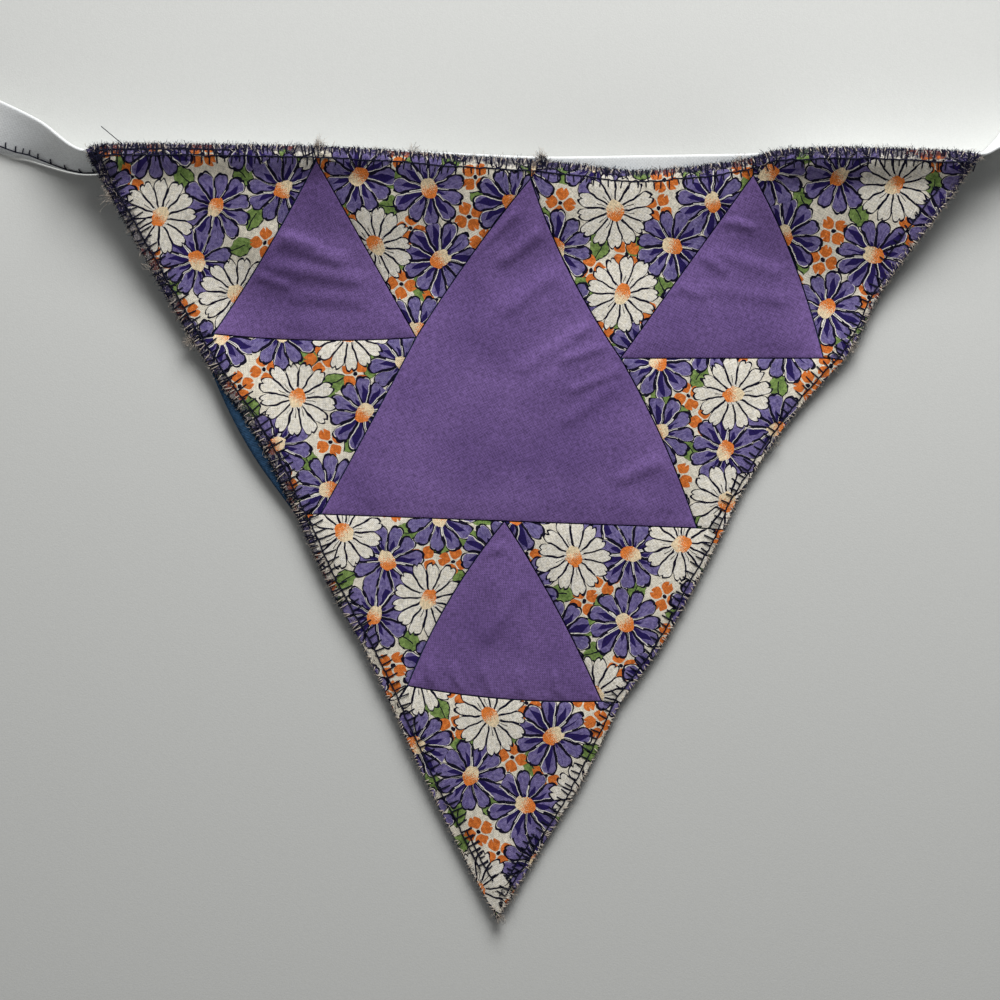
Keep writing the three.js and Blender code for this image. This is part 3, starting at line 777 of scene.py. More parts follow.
@dataclass(frozen=True)
class PrintedCotton(WovenCotton):
    """Cream cotton printed with daisies, small orange flowers and leaves, each with a black line.

    The motifs of one kind are laid out in a repeat. For each point the nearest motif of a kind is
    found, and the kind is drawn once, round that motif's own centre.
    """

    violet_daisy: Daisy = Daisy(11, 11.3, 0.50, 0.27, 0.25, "7c729f", "5a5082", "241a52")
    cream_daisy: Daisy = Daisy(13, 11.6, 0.26, 0.19, 0.8, "e0dcd3", "dbd4c3")
    cream: str = "dbd4c3"
    petal: str = "e0dcd3"
    eye: str = "e8d3ae"
    line: str = "0f0c20"
    orange: str = "dd7c38"
    orange_deep: str = "bd6128"
    green: str = "839b57"
    green_deep: str = "58703a"
    lint_navy: str = "1d1a33"
    lint_grey: str = "5b5670"
    lint_pale: str = "b3a89c"
    petal_out: float = 1.9  # how far out a small flower's petals are, in millimetres, along X and Y
    dot: float = 0.62  # the radius of the small flower's middle
    leaf_length: float = 4.4  # half of a leaf's length
    leaf_width: float = 2.8
    wobble: float = 0.55  # how far the hand-drawn lines wander

    def nearest(self, dye: Dye, place: Socket, kind: list[Row]) -> Spot:
        """The nearest motif of a kind.

        Args:
            dye: The material.
            place: Where the point is, in repeats.
            kind: The motifs.

        Returns:
            The point round that motif's centre, in millimetres and turned with it, and the
            motif's turn, which also tells it from the others.
        """
        best = least = None
        for x, y, turn in kind:
            # The turn rides in the third coordinate, too small to change the distance.
            centre = (x / REPEAT, y / REPEAT, -turn * 0.001)
            away = dye.add(Node.VECTOR_SUBTRACT, place, centre)
            near = dye.add(Node.VECTOR_WRAP, away, (0.5, 0.5, 0.5), (-0.5, -0.5, -0.5))
            far = dye.add(Node.VECTOR_LENGTH, near)
            if best is None:
                best, least = near, far
                continue
            closer = dye.add(Node.LESS_THAN, far, least)
            best = dye.add(Node.MIX_VECTOR, closer, best, near)
            least = dye.add(Node.MINIMUM, far, least)
        turn = dye.add(Node.MULTIPLY, dye.split(best)[2], 1000.0)
        turned = dye.add(Node.TURN, best, dye.add(Node.MULTIPLY, turn, 2 * math.pi))
        return dye.add(Node.VECTOR_MULTIPLY, turned, (REPEAT, REPEAT, 0)), turn

    def daisy(self, dye: Dye, under: Socket, spot: Spot, kind: Daisy) -> Socket:
        """Draws a daisy over what lies under it.

        Args:
            dye: The material.
            under: The colour under it.
            spot: The point round its centre, and its turn.
            kind: Its size and colours.

        Returns:
            The colour with the daisy.
        """
        local, turn = spot
        x, y, _ = dye.split(local)
        r = dye.add(Node.VECTOR_LENGTH, local)
        angle = dye.add(Node.ARCTAN2, y, x)
        number = dye.add(
            Node.MULTIPLY_ADD, angle, kind.petals / (2 * math.pi), kind.petals
        )
        whole = dye.add(Node.FLOOR, number)
        # Across a petal this runs from -0.5 to 0.5.
        across = dye.add(Node.SUBTRACT, dye.add(Node.FRACT, number), 0.5)
        off = dye.add(Node.ABSOLUTE, across)
        chance = dye.add(Node.CHANCE, dye.add(Node.MULTIPLY_ADD, turn, 37.0, whole))
        # How far the point is inside its petal's sides, and inside its rounded, notched end.
        side = dye.add(Node.MULTIPLY, dye.add(Node.SUBTRACT, 0.5, off), r)
        side = dye.add(Node.MULTIPLY, side, 2 * math.pi / kind.petals)
        reach = dye.add(Node.RANGE, chance, 0, 1, kind.radius * kind.shortest, kind.radius)
        bow = dye.add(Node.POWER, off, 3.0)
        round_end = dye.add(Node.MULTIPLY, bow, kind.rounding * kind.radius / 0.5**3)
        notch = dye.add(Node.RANGE, off, 0.0, 0.10, kind.notch, 0.0)
        end = dye.add(Node.SUBTRACT, dye.add(Node.SUBTRACT, reach, round_end), notch)
        tip = dye.add(Node.SUBTRACT, end, r)
        inside = dye.add(Node.MINIMUM, side, tip)
        heavy = dye.add(Node.GREATER_THAN, across, 0.0)
        edge = dye.add(Node.MULTIPLY_ADD, heavy, kind.line, kind.line)
        filled = dye.add(Node.GREATER_THAN, inside, edge)
        # The fill is streaked along the petal.
        streak_at = dye.add(Node.JOIN, number, dye.add(Node.MULTIPLY, r, 0.12), turn)
        streak = dye.add(Node.NOISE, streak_at, 7.0, 2.0)
        fill = dye.depths(streak, kind.fill, kind.fill_deep)
        if kind.wedge:
            long = dye.add(Node.RANGE, chance, 0, 1, kind.radius * 0.30, kind.radius * 0.95)
            share = dye.add(Node.DIVIDE, r, long)
            wide = dye.add(Node.MULTIPLY_ADD, share, -0.62, 0.62)
            aside = dye.add(Node.MULTIPLY_ADD, across, 0.5, off)
            dark = dye.add(Node.LESS_THAN, aside, wide)
            fill = dye.add(Node.MIX, dark, fill, linear(kind.wedge))
        else:
            vein = dye.add(Node.LESS_THAN, off, 0.045)
            vein = dye.add(Node.MULTIPLY, vein, dye.add(Node.LESS_THAN, r, kind.radius * 0.48))
            vein = dye.add(Node.MULTIPLY, vein, dye.add(Node.GREATER_THAN, chance, 0.55))
            fill = dye.add(Node.MIX, vein, fill, linear(self.line))
        # Near the centre the petals are parted by unprinted cloth instead of a line.
        parted = dye.add(Node.LESS_THAN, r, kind.radius * kind.parting)
        gap = dye.add(Node.FLOOR, dye.add(Node.ADD, number, 0.5))
        luck = dye.add(Node.CHANCE, dye.add(Node.MULTIPLY_ADD, turn, 91.0, gap))
        narrow = dye.add(Node.RANGE, luck, 0.3, 0.95, 0.0, 0.19)
        parted = dye.add(Node.MULTIPLY, parted, dye.add(Node.LESS_THAN, side, narrow))
        drawn = dye.add(Node.MIX, parted, linear(self.line), linear(self.petal))
        # The fill was printed a little aside of the outline, so a sliver of cloth shows.
        bare = dye.add(
            Node.LESS_THAN, inside, dye.add(Node.MULTIPLY_ADD, chance, 0.30, edge)
        )
        bare = dye.add(Node.MULTIPLY, bare, dye.add(Node.LESS_THAN, across, -0.05))
        fill = dye.add(Node.MIX, bare, fill, linear(self.petal))
        flower = dye.add(Node.MIX, filled, drawn, fill)
        # The oval centre: pale, with orange dots that are dense on one half.
        core = dye.add(Node.VECTOR_LENGTH, dye.add(Node.VECTOR_MULTIPLY, local, (1.0, 1.25, 0)))
        fringe = dye.add(Node.MULTIPLY_ADD, chance, 0.6, kind.radius * kind.eye)
        middle = dye.add(Node.LESS_THAN, core, fringe)
        grain = dye.add(Node.NOISE, local, 3.4, 3.0)
        dots = dye.add(Node.GREATER_THAN, dye.add(Node.MULTIPLY_ADD, x, 0.09, grain), 0.50)
        eye = dye.add(Node.MIX, dots, linear(self.eye), linear(self.orange))
        flower = dye.add(Node.MIX, middle, flower, eye)
        covers = dye.add(Node.GREATER_THAN, tip, -0.32)
        return dye.add(Node.MIX, covers, under, flower)

    def small_flower(self, dye: Dye, under: Socket, spot: Spot) -> Socket:
        """Draws a small flower of four heart-shaped petals over what lies under it.

        Args:
            dye: The material.
            under: The colour under it.
            spot: The point round its centre, and its turn.

        Returns:
            The colour with the flower.
        """
        local, _ = spot
        quarter = dye.add(Node.VECTOR_ABSOLUTE, local)
        gap = dye.add(Node.VECTOR_SUBTRACT, quarter, (self.petal_out, self.petal_out, 0))
        gap = dye.add(Node.VECTOR_ABSOLUTE, gap)
        cubes = dye.add(Node.VECTOR_DOT_PRODUCT, dye.add(Node.VECTOR_MULTIPLY, gap, gap), gap)
        # A petal's outer end is notched, as a heart is.
        x, y, _ = dye.split(quarter)
        across = dye.add(Node.ABSOLUTE, dye.add(Node.SUBTRACT, x, y))
        notch = dye.add(Node.RANGE, across, 0.0, 0.7, 4.6, 0.0)
        outer = dye.add(Node.GREATER_THAN, dye.add(Node.ADD, x, y), 4.7)
        cubes = dye.add(Node.ADD, cubes, dye.add(Node.MULTIPLY, notch, outer))
        petal = dye.add(Node.LESS_THAN, cubes, 4.6)
        grain = dye.add(Node.NOISE, local, 0.9, 2.0)
        fill = dye.depths(grain, self.orange, self.orange_deep)
        colour = dye.add(Node.MIX, petal, under, fill)
        dot = dye.add(Node.LESS_THAN, dye.add(Node.VECTOR_LENGTH, local), self.dot)
        return dye.add(Node.MIX, dot, colour, linear(self.line))

    def leaf(self, dye: Dye, under: Socket | Colour, spot: Spot) -> Socket:
        """Draws a broad leaf, with a vein and a line along one side, over what lies under it.

        Args:
            dye: The material.
            under: The colour under it.
            spot: The point round its centre, and its turn.

        Returns:
            The colour with the leaf.
        """
        local, _ = spot
        x, y, _ = dye.split(local)
        far = dye.add(Node.ABSOLUTE, dye.add(Node.MULTIPLY, x, 1 / self.leaf_length))
        taper = dye.add(Node.POWER, far, 1.8)
        lobes = dye.add(Node.SINE, dye.add(Node.MULTIPLY, x, 2.9))
        lobes = dye.add(Node.MULTIPLY_ADD, lobes, 0.13, self.leaf_width)
        wide = dye.add(Node.MULTIPLY_ADD, taper, -self.leaf_width, lobes)
        off = dye.add(Node.ABSOLUTE, y)
        inside = dye.add(Node.SUBTRACT, wide, off)
        covers = dye.add(Node.GREATER_THAN, inside, 0.0)
        grain = dye.add(Node.NOISE, local, 0.8, 2.0)
        fill = dye.depths(grain, self.green, self.green_deep)
        vein = dye.add(Node.LESS_THAN, off, 0.17)
        vein = dye.add(Node.MULTIPLY, vein, dye.add(Node.LESS_THAN, x, 1.2))
        # The line round it is strong on one side and comes and goes on the other.
        broken = dye.add(Node.RANGE, grain, 0.45, 0.6, 0.0, 0.3)
        below = dye.add(Node.LESS_THAN, y, 0.2)
        rim = dye.add(Node.LESS_THAN, inside, dye.add(Node.MULTIPLY_ADD, below, 0.30, broken))
        ink = dye.add(Node.MAXIMUM, vein, rim)
        leaf = dye.add(Node.MIX, ink, fill, linear(self.line))
        return dye.add(Node.MIX, covers, under, leaf)

    def ground(self, dye: Dye, uv: Socket) -> Socket:
        """The whole print, from the cream ground up to the cream daisies."""
        drift = dye.add(Node.FLAT_NOISE_COLOUR, uv, REPEAT / 3.5, 1.0)
        drift = dye.add(Node.VECTOR_SUBTRACT, drift, (0.5, 0.5, 0.5))
        reach = self.wobble / REPEAT * 2
        drift = dye.add(Node.VECTOR_MULTIPLY, drift, (reach, reach, 0))
        place = dye.add(Node.VECTOR_ADD, uv, drift)
        colour = self.leaf(dye, linear(self.cream), self.nearest(dye, place, LEAVES))
        colour = self.small_flower(dye, colour, self.nearest(dye, place, ORANGE_FLOWERS))
        for kind, rows in ((self.violet_daisy, VIOLET_DAISIES), (self.cream_daisy, CREAM_DAISIES)):
            colour = self.daisy(dye, colour, self.nearest(dye, place, rows), kind)
        return self.worn(dye, colour, uv)

    def worn(self, dye: Dye, printed: Socket, uv: Socket) -> Socket:
        """Covers the print along the raw edges with matted threads and lint.

        Args:
            dye: The material.
            printed: The print's colour.
            uv: Where on the flat cloth the point is.

        Returns:
            The colour with the lint, which reaches in as far as the attribute raw allows.
        """
        raw = dye.add(Node.TO_RAW_EDGE)
        tangle = dye.add(Node.FLAT_NOISE, uv, REPEAT / 0.9, 2.0)
        reach = dye.add(Node.MULTIPLY_ADD, tangle, -4.2, raw)
        share = dye.add(Node.RANGE, reach, 0.7, -0.2, 0.0, 0.8)
        fibres = dye.add(Node.FLAT_NOISE, uv, REPEAT / 0.45, 2.0)
        grey = dye.add(Node.RANGE, fibres, 0.49, 0.64)
        pale = dye.add(Node.RANGE, fibres, 0.64, 0.73)
        lint = dye.add(Node.MIX, grey, linear(self.lint_navy), linear(self.lint_grey))
        lint = dye.add(Node.MIX, pale, lint, linear(self.lint_pale))
        return dye.add(Node.MIX, share, printed, lint)


@dataclass(frozen=True)
class FineGrain:
    """A matt finish with a fine grain in colour and relief: a thread's twist, a paint's tooth."""

    name: str
    shade: str
    deep: str
    roughness: float = 0.8
    gloss: float = 0.15
    grains: float = 2600.0  # to a metre

    def make(self) -> bpy.types.Material:
        """Makes the material."""
        dye = Dye(self.name)
        grain = dye.add(Node.NOISE, dye.add(Node.OBJECT_PLACE), self.grains, 2.0)
        colour = dye.depths(grain, self.shade, self.deep)
        return dye.surface(colour, (grain, 0.4, 0.0001), self.roughness, self.gloss)


class Finish(Enum):
    """The pennant's finishes, each with what it gives the eye."""

    # Plain weave that shows as a fine uneven grain, soft and without shine.
    PLAIN = PlainCotton("woven cotton, dyed violet")
    # Crisp, slightly uneven lines and flat colours, with the weave showing through.
    PRINT = PrintedCotton("woven cotton, printed with flowers")
    # A dark, dull strip with a coarser grain.
    BACKING = PlainCotton(
        "woven cotton, dyed dark teal", shade="2c4864", deep="223b55", relief=0.8
    )
    # Smooth and nearly white, with a faint rib.
    TAPE = PlainCotton(
        "woven cotton tape, bleached", shade="f3f5f4", deep="eceff0", thread=0.5, roughness=0.7,
        relief=0.25, speckle=0.08,
    )
    # Thin dark lines that stand out against the cloth and catch no light.
    STITCH = FineGrain("spun thread, dyed navy", shade="1b1c33", deep="0e0f1e")
    # A pale haze of fibres.
    FLUFF = FineGrain("cotton fluff, unbleached", shade="d9cfc0", deep="a99a90")
    # A quiet, even ground for the shadows.
    FLOOR = FineGrain("painted board, pale", shade="d3d4d1", deep="cfd0cd")

    def material(self) -> bpy.types.Material:
        """The finish's material, made once."""
        return bpy.data.materials.get(self.value.name) or self.value.make()


# ---------------------------------------------------------------------------------------------
# Pieces.
# ---------------------------------------------------------------------------------------------


def placed(name: str, data: bpy.types.ID) -> bpy.types.Object:
    """A new object in the scene, at the origin."""
    made = bpy.data.objects.new(name, data)
    bpy.context.scene.collection.objects.link(made)
    return made


def finished(
    bm: bmesh.types.BMesh, name: str, finish: Finish, slot: str | None, nodes: Sequence[str] = ()
) -> bpy.types.Object:
    """Turns a bmesh in metres into a finished piece that rides on the pennant.

    Args:
        bm: The mesh, which is freed.
        name: The piece's name.
        finish: Its finish.
        slot: The record's slot, if it has one; it is not used.
        nodes: The CAD nodes that it stands for.

    Returns:
        The piece.
    """
    mesh = bpy.data.meshes.new(name)
    for face in bm.faces:
        face.smooth = True
    bm.to_mesh(mesh)
    bm.free()
    piece = placed(name, mesh)
    mesh.materials.append(finish.material())
    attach(piece, "root")
    if nodes:
        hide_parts(*nodes)
    log.info("%s: %d faces", name, len(mesh.polygons))
    return piece


def three_sided(
    bm: bmesh.types.BMesh, sides: list[Side], cuts: int, spread: float, trim: float = 0.0
) -> Iterator[tuple[bmesh.types.BMVert, Vector, list[float]]]:
    """Makes a triangular mesh between three sides of the plan.

    Args:
        bm: Where the mesh is made.
        sides: Its sides, each of which ends where the next one starts.
        cuts: How many edges each side has.
        spread: How much the mesh's rows crowd towards the sides.
        trim: How far the mesh stays inside the sides.

    Returns:
        Each vertex in turn, its place on the plan, and how far it is from each side.
    """
    a, b, c = (side.start for side in sides)
    tall = (a - b).length * math.sqrt(3) / 2
    inset = trim / tall
    # The mesh starts as a triangle whose corners are the three pure shares (u, v, w).
    bm.faces.new([bm.verts.new(p) for p in ((1, 0, 0), (0, 1, 0), (0, 0, 1))])
    bmesh.ops.subdivide_edges(bm, edges=bm.edges[:], cuts=cuts - 1, use_grid_fill=True)
    for vert in bm.verts:
        shares = [max(share, 0.0) ** spread for share in vert.co]
        u, v, w = (inset + (1 - 3 * inset) * share / sum(shares) for share in shares)
        point = a * u + b * v + c * w
        # Share w is 0 along the first side, u along the second and v along the third.
        for side, behind, ahead in zip(sides, (u, v, w), (v, w, u)):
            if behind + ahead:
                point += side.offset(ahead / (behind + ahead)) * (behind + ahead)
        yield vert, point, [w * tall, u * tall, v * tall]


def lay_uvs(bm: bmesh.types.BMesh, places: dict[bmesh.types.BMVert, Point]) -> None:
    """Writes where each vertex is on the flat cloth, in repeats, to the cloth's UV map."""
    layer = bm.loops.layers.uv.new("cloth")
    for face in bm.faces:
        for loop in face.loops:
            loop[layer].uv = places[loop.vert]


def give_thickness(bm: bmesh.types.BMesh, thickness: float) -> None:
    """Turns an open sheet that faces up into cloth, with its underside that far below."""
    bmesh.ops.recalc_face_normals(bm, faces=bm.faces[:])
    if sum(face.normal.z * face.calc_area() for face in bm.faces) < 0:
        bmesh.ops.reverse_faces(bm, faces=bm.faces[:])
    bmesh.ops.solidify(bm, geom=bm.faces[:], thickness=thickness)
    bmesh.ops.recalc_face_normals(bm, faces=bm.faces[:])


@dataclass(frozen=True)
class PrintPlace:
    """How a patch was cut from the cloth: a point of the repeat, where it lies, and its turn."""

    repeat: Point = (32, 32)
    lies: Point = (0, 0)
    turn: float = 0  # in degrees

    def uv(self, x: float, y: float) -> Point:
        """A place on the pennant as a place in the print's repeats."""
        a = math.radians(self.turn)
        dx, dy = x - self.lies[0], y - self.lies[1]
        u = (self.repeat[0] + dx * math.cos(a) + dy * math.sin(a)) / REPEAT
        v = (self.repeat[1] - dx * math.sin(a) + dy * math.cos(a)) / REPEAT
        return u, v


@dataclass
class Patch:
    """One triangular patch of the front: cloth that puffs up a little between its seams."""

    name: str
    finish: Finish
    slot: str
    sides: tuple[str, ...]
    place: PrintPlace
    cuts: int = 80
    trim: float = 0.15  # how far it stays inside its plan
    spread: float = 1.5  # packs the mesh's rows towards the sides

    def build(self) -> bpy.types.Object:
        """Builds the patch."""
        sides = [Side(names.split()) for names in self.sides]
        bm = bmesh.new()
        edge = bm.verts.layers.float.new("raw")
        uvs: dict[bmesh.types.BMVert, Point] = {}
        for vert, point, away in three_sided(bm, sides, self.cuts, self.spread, self.trim):
            raw = min([d for d, side in zip(away, sides) if side.raw], default=FAR)
            seam = min([d for d, side in zip(away, sides) if not side.raw], default=FAR)
            height = FRONT.height(point.x, point.y, raw, seam)
            vert.co = (point.x * MM, point.y * MM, height * MM)
            vert[edge] = raw + LINT_REACH * (1 - wear(point.x, point.y))
            uvs[vert] = self.place.uv(point.x, point.y)
        lay_uvs(bm, uvs)
        give_thickness(bm, FRONT.thickness * MM)
        piece = finished(bm, f"{self.name}_cloth", self.finish, self.slot, [self.name])
        self.declare(sides)
        return piece

    def declare(self, sides: list[Side]) -> None:
        points = [side.at(i / 30) for side in sides for i in range(30)]
        width = max(p.x for p in points) - min(p.x for p in points)
        length = max(p.y for p in points) - min(p.y for p in points)
        log.info("%s: flat %.0f x %.0f mm", self.name, width, length)


def plain(name: str, *sides: str, turn: float, cuts: int = 80) -> Patch:
    """A plain violet patch, from the corners and seam ends that each side runs through."""
    place = PrintPlace(turn=turn)
    return Patch(name, Finish.PLAIN, "plain_cotton", sides, place, cuts=cuts)


def printed(name: str, *sides: str, place: PrintPlace) -> Patch:
    """A flower-print patch, from the corners and seam ends that each side runs through."""
    return Patch(name, Finish.PRINT, "print_cotton", sides, place)


PATCHES: list[Patch] = [
    plain(
        "plain_centre", "midTop leftInner midLeft", "midLeft midLow midRight",
        "midRight rightInner midTop", turn=33, cuts=160,
    ),
    plain("plain_left", "leftTop leftLow", "leftLow leftInner", "leftInner leftTop", turn=20),
    plain(
        "plain_right", "rightTop rightInner", "rightInner rightLow", "rightLow rightTop", turn=-28,
    ),
    plain("plain_low", "midLow lowLeft", "lowLeft lowRight", "lowRight midLow", turn=2),
    printed(
        "print_left_corner", "topLeft edgeLeftHigh", "edgeLeftHigh leftLow leftTop edgeTopLeft",
        "edgeTopLeft topLeft", place=PrintPlace((27, 8), (-97, 76), -12),
    ),
    printed(
        "print_left_inner", "edgeTopLeft leftTop leftInner", "leftInner midTop edgeTopMid",
        "edgeTopMid edgeTopLeft", place=PrintPlace((6, 38), (-35, 68), 20),
    ),
    printed(
        "print_left_low", "edgeLeftHigh edgeLeftMid", "edgeLeftMid midLeft leftInner",
        "leftInner leftLow edgeLeftHigh", place=PrintPlace((53, 55), (-58, 24), 95),
    ),
    printed(
        "print_right_inner", "edgeTopMid midTop rightInner", "rightInner rightTop edgeTopRight",
        "edgeTopRight edgeTopMid", place=PrintPlace((6, 38), (36, 54), -40),
    ),
    printed(
        "print_right_corner", "edgeTopRight rightTop rightLow edgeRightHigh",
        "edgeRightHigh topRight", "topRight edgeTopRight",
        place=PrintPlace((27, 8), (114, 85), 150),
    ),
    printed(
        "print_right_low", "rightInner midRight edgeRightMid", "edgeRightMid edgeRightHigh",
        "edgeRightHigh rightLow rightInner", place=PrintPlace((27, 8), (68, 25), -60),
    ),
    printed(
        "print_low_left", "edgeLeftMid edgeLeftLow", "edgeLeftLow lowLeft midLow",
        "midLow midLeft edgeLeftMid", place=PrintPlace((27, 8), (-20, -34), 175),
    ),
    printed(
        "print_low_right", "midLow lowRight edgeRightLow", "edgeRightLow edgeRightMid",
        "edgeRightMid midRight midLow", place=PrintPlace((53, 55), (53, -18), 40),
    ),
    printed(
        "print_tip", "edgeLeftLow point", "point edgeRightLow",
        "edgeRightLow lowRight lowLeft edgeLeftLow", place=PrintPlace((6, 38), (-2, -68), 15),
    ),
]


@dataclass
class Backing:
    """The plain backing triangle under all the patches, which shows past the front's left edge."""

    cuts: int = 130
    thickness: float = 0.5
    under: float = 0.35  # its underside over the CAD backing's
    shows_low: float = -13  # between which heights it shows at the left, and how far at most
    shows_high: float = 36
    shows_most: float = 4.4
    spread: float = 1.25

    def shows(self, x: float, y: float) -> float:
        """How far the backing is drawn past the front's left edge at a place."""
        if not self.shows_low < y < self.shows_high:
            return 0.0
        share = (y - self.shows_low) / (self.shows_high - self.shows_low)
        near = 1 - smooth((x - along(LEFT_ROWS, y, 1)) / 4)
        return self.shows_most * math.sin(math.pi * share) ** 1.5 * near

    def build(self) -> bpy.types.Object:
        """Builds the backing."""
        sides = [Side(names) for names in (LEFT_EDGE, RIGHT_EDGE, TOP_EDGE)]
        place = PrintPlace(turn=8)
        bm = bmesh.new()
        uvs: dict[bmesh.types.BMVert, Point] = {}
        for vert, point, _ in three_sided(bm, sides, self.cuts, self.spread):
            height = CLOTH.lift(point.x, point.y) + self.under + self.thickness
            x = point.x - self.shows(point.x, point.y)
            vert.co = (x * MM, point.y * MM, height * MM)
            uvs[vert] = place.uv(point.x, point.y)
        lay_uvs(bm, uvs)
        give_thickness(bm, self.thickness * MM)
        piece = finished(bm, "backing_cloth", Finish.BACKING, "backing_cotton", ["backing"])
        return piece


@dataclass
class Tape:
    """The white tape, folded in two along its length, that runs behind the top edge."""

    stations: int = 260
    threads: int = 48  # faces across the flat tape

    def frame_at(self, x: float) -> tuple[float, float, float]:
        """The fold's place, its heading and the tape's tilt, in radians, at a place along it."""
        step = 2 * HALF_LENGTH / 120
        ahead = along(TAPE_ROWS, x + step / 2, 1) - along(TAPE_ROWS, x - step / 2, 1)
        inside = min(HALF_LENGTH - abs(x), step) / step
        heading = math.atan2(ahead, step) * inside
        return along(TAPE_ROWS, x, 1), heading, math.radians(along(TAPE_ROWS, x, 2))

    def point(self, x: float, s: float, out: float = 0.0) -> Vector:
        """A point of the folded tape.

        Args:
            x: How far along the tape.
            s: How far from the fold in the flat tape, negative on the back layer.
            out: How far off the cloth's middle, outwards.

        Returns:
            The point, in millimetres.
        """
        fold, heading, tilt = self.frame_at(x)
        inward, aside = TAPE.across(s)
        aside += math.copysign(out, s) if out else 0.0
        sideways = -inward * math.cos(tilt) - aside * math.sin(tilt)
        up = -inward * math.sin(tilt) + aside * math.cos(tilt)
        return Vector((
            x - sideways * math.sin(heading),
            fold + sideways * math.cos(heading),
            TAPE.fold_height(tilt) + up,
        ))

    def build(self) -> bpy.types.Object:
        """Builds the tape."""
        back, front = -TAPE.width, TAPE.width - TAPE.lip
        bm = bmesh.new()
        bmesh.ops.create_grid(bm, x_segments=self.stations, y_segments=self.threads, size=1)
        uvs: dict[bmesh.types.BMVert, Point] = {}
        for vert in bm.verts:
            x = vert.co.x * HALF_LENGTH
            # The rows crowd round the fold.
            share = math.copysign(abs(vert.co.y) ** 1.5, vert.co.y)
            s = share * (front if share > 0 else -back)
            uvs[vert] = (x / REPEAT, s / REPEAT)
            vert.co = self.point(x, s) * MM
        lay_uvs(bm, uvs)
        bmesh.ops.solidify(bm, geom=bm.faces[:], thickness=TAPE.layer * MM)
        bmesh.ops.recalc_face_normals(bm, faces=bm.faces[:])
        piece = finished(bm, "tape_cloth", Finish.TAPE, "white_tape", ["tape"])
        return piece


@dataclass
class ThreadWork:
    """Curves of sewing thread, gathered and made into one mesh piece."""

    name: str
    radius: float = 0.2
    lines: list[list[Vector]] = field(default_factory=list)

    def lay(self, *points: Vector) -> None:
        """Adds one length of thread through its points, in millimetres."""
        self.lines.append(list(points))

    def build(self, finish: Finish) -> bpy.types.Object:
        """Makes the threads as thin round tubes.

        Args:
            finish: Their finish.

        Returns:
            The piece.
        """
        curve = bpy.data.curves.new(self.name, "CURVE")
        curve.dimensions = "3D"
        curve.bevel_depth = self.radius * MM
        curve.bevel_resolution = 1
        curve.use_fill_caps = True
        for points in self.lines:
            spline = curve.splines.new("POLY")
            spline.points.add(len(points) - 1)
            for knot, point in zip(spline.points, points):
                knot.co = (*(point * MM), 1)
        shown = placed(self.name, curve)
        bpy.context.view_layer.update()
        drawn = shown.evaluated_get(bpy.context.evaluated_depsgraph_get())
        mesh = bpy.data.meshes.new_from_object(drawn)
        bpy.data.objects.remove(shown)
        bm = bmesh.new()
        bm.from_mesh(mesh)
        bpy.data.meshes.remove(mesh)
        bmesh.ops.recalc_face_normals(bm, faces=bm.faces[:])
        return finished(bm, self.name, finish, None)


Stretch = tuple[float, float, float, float]


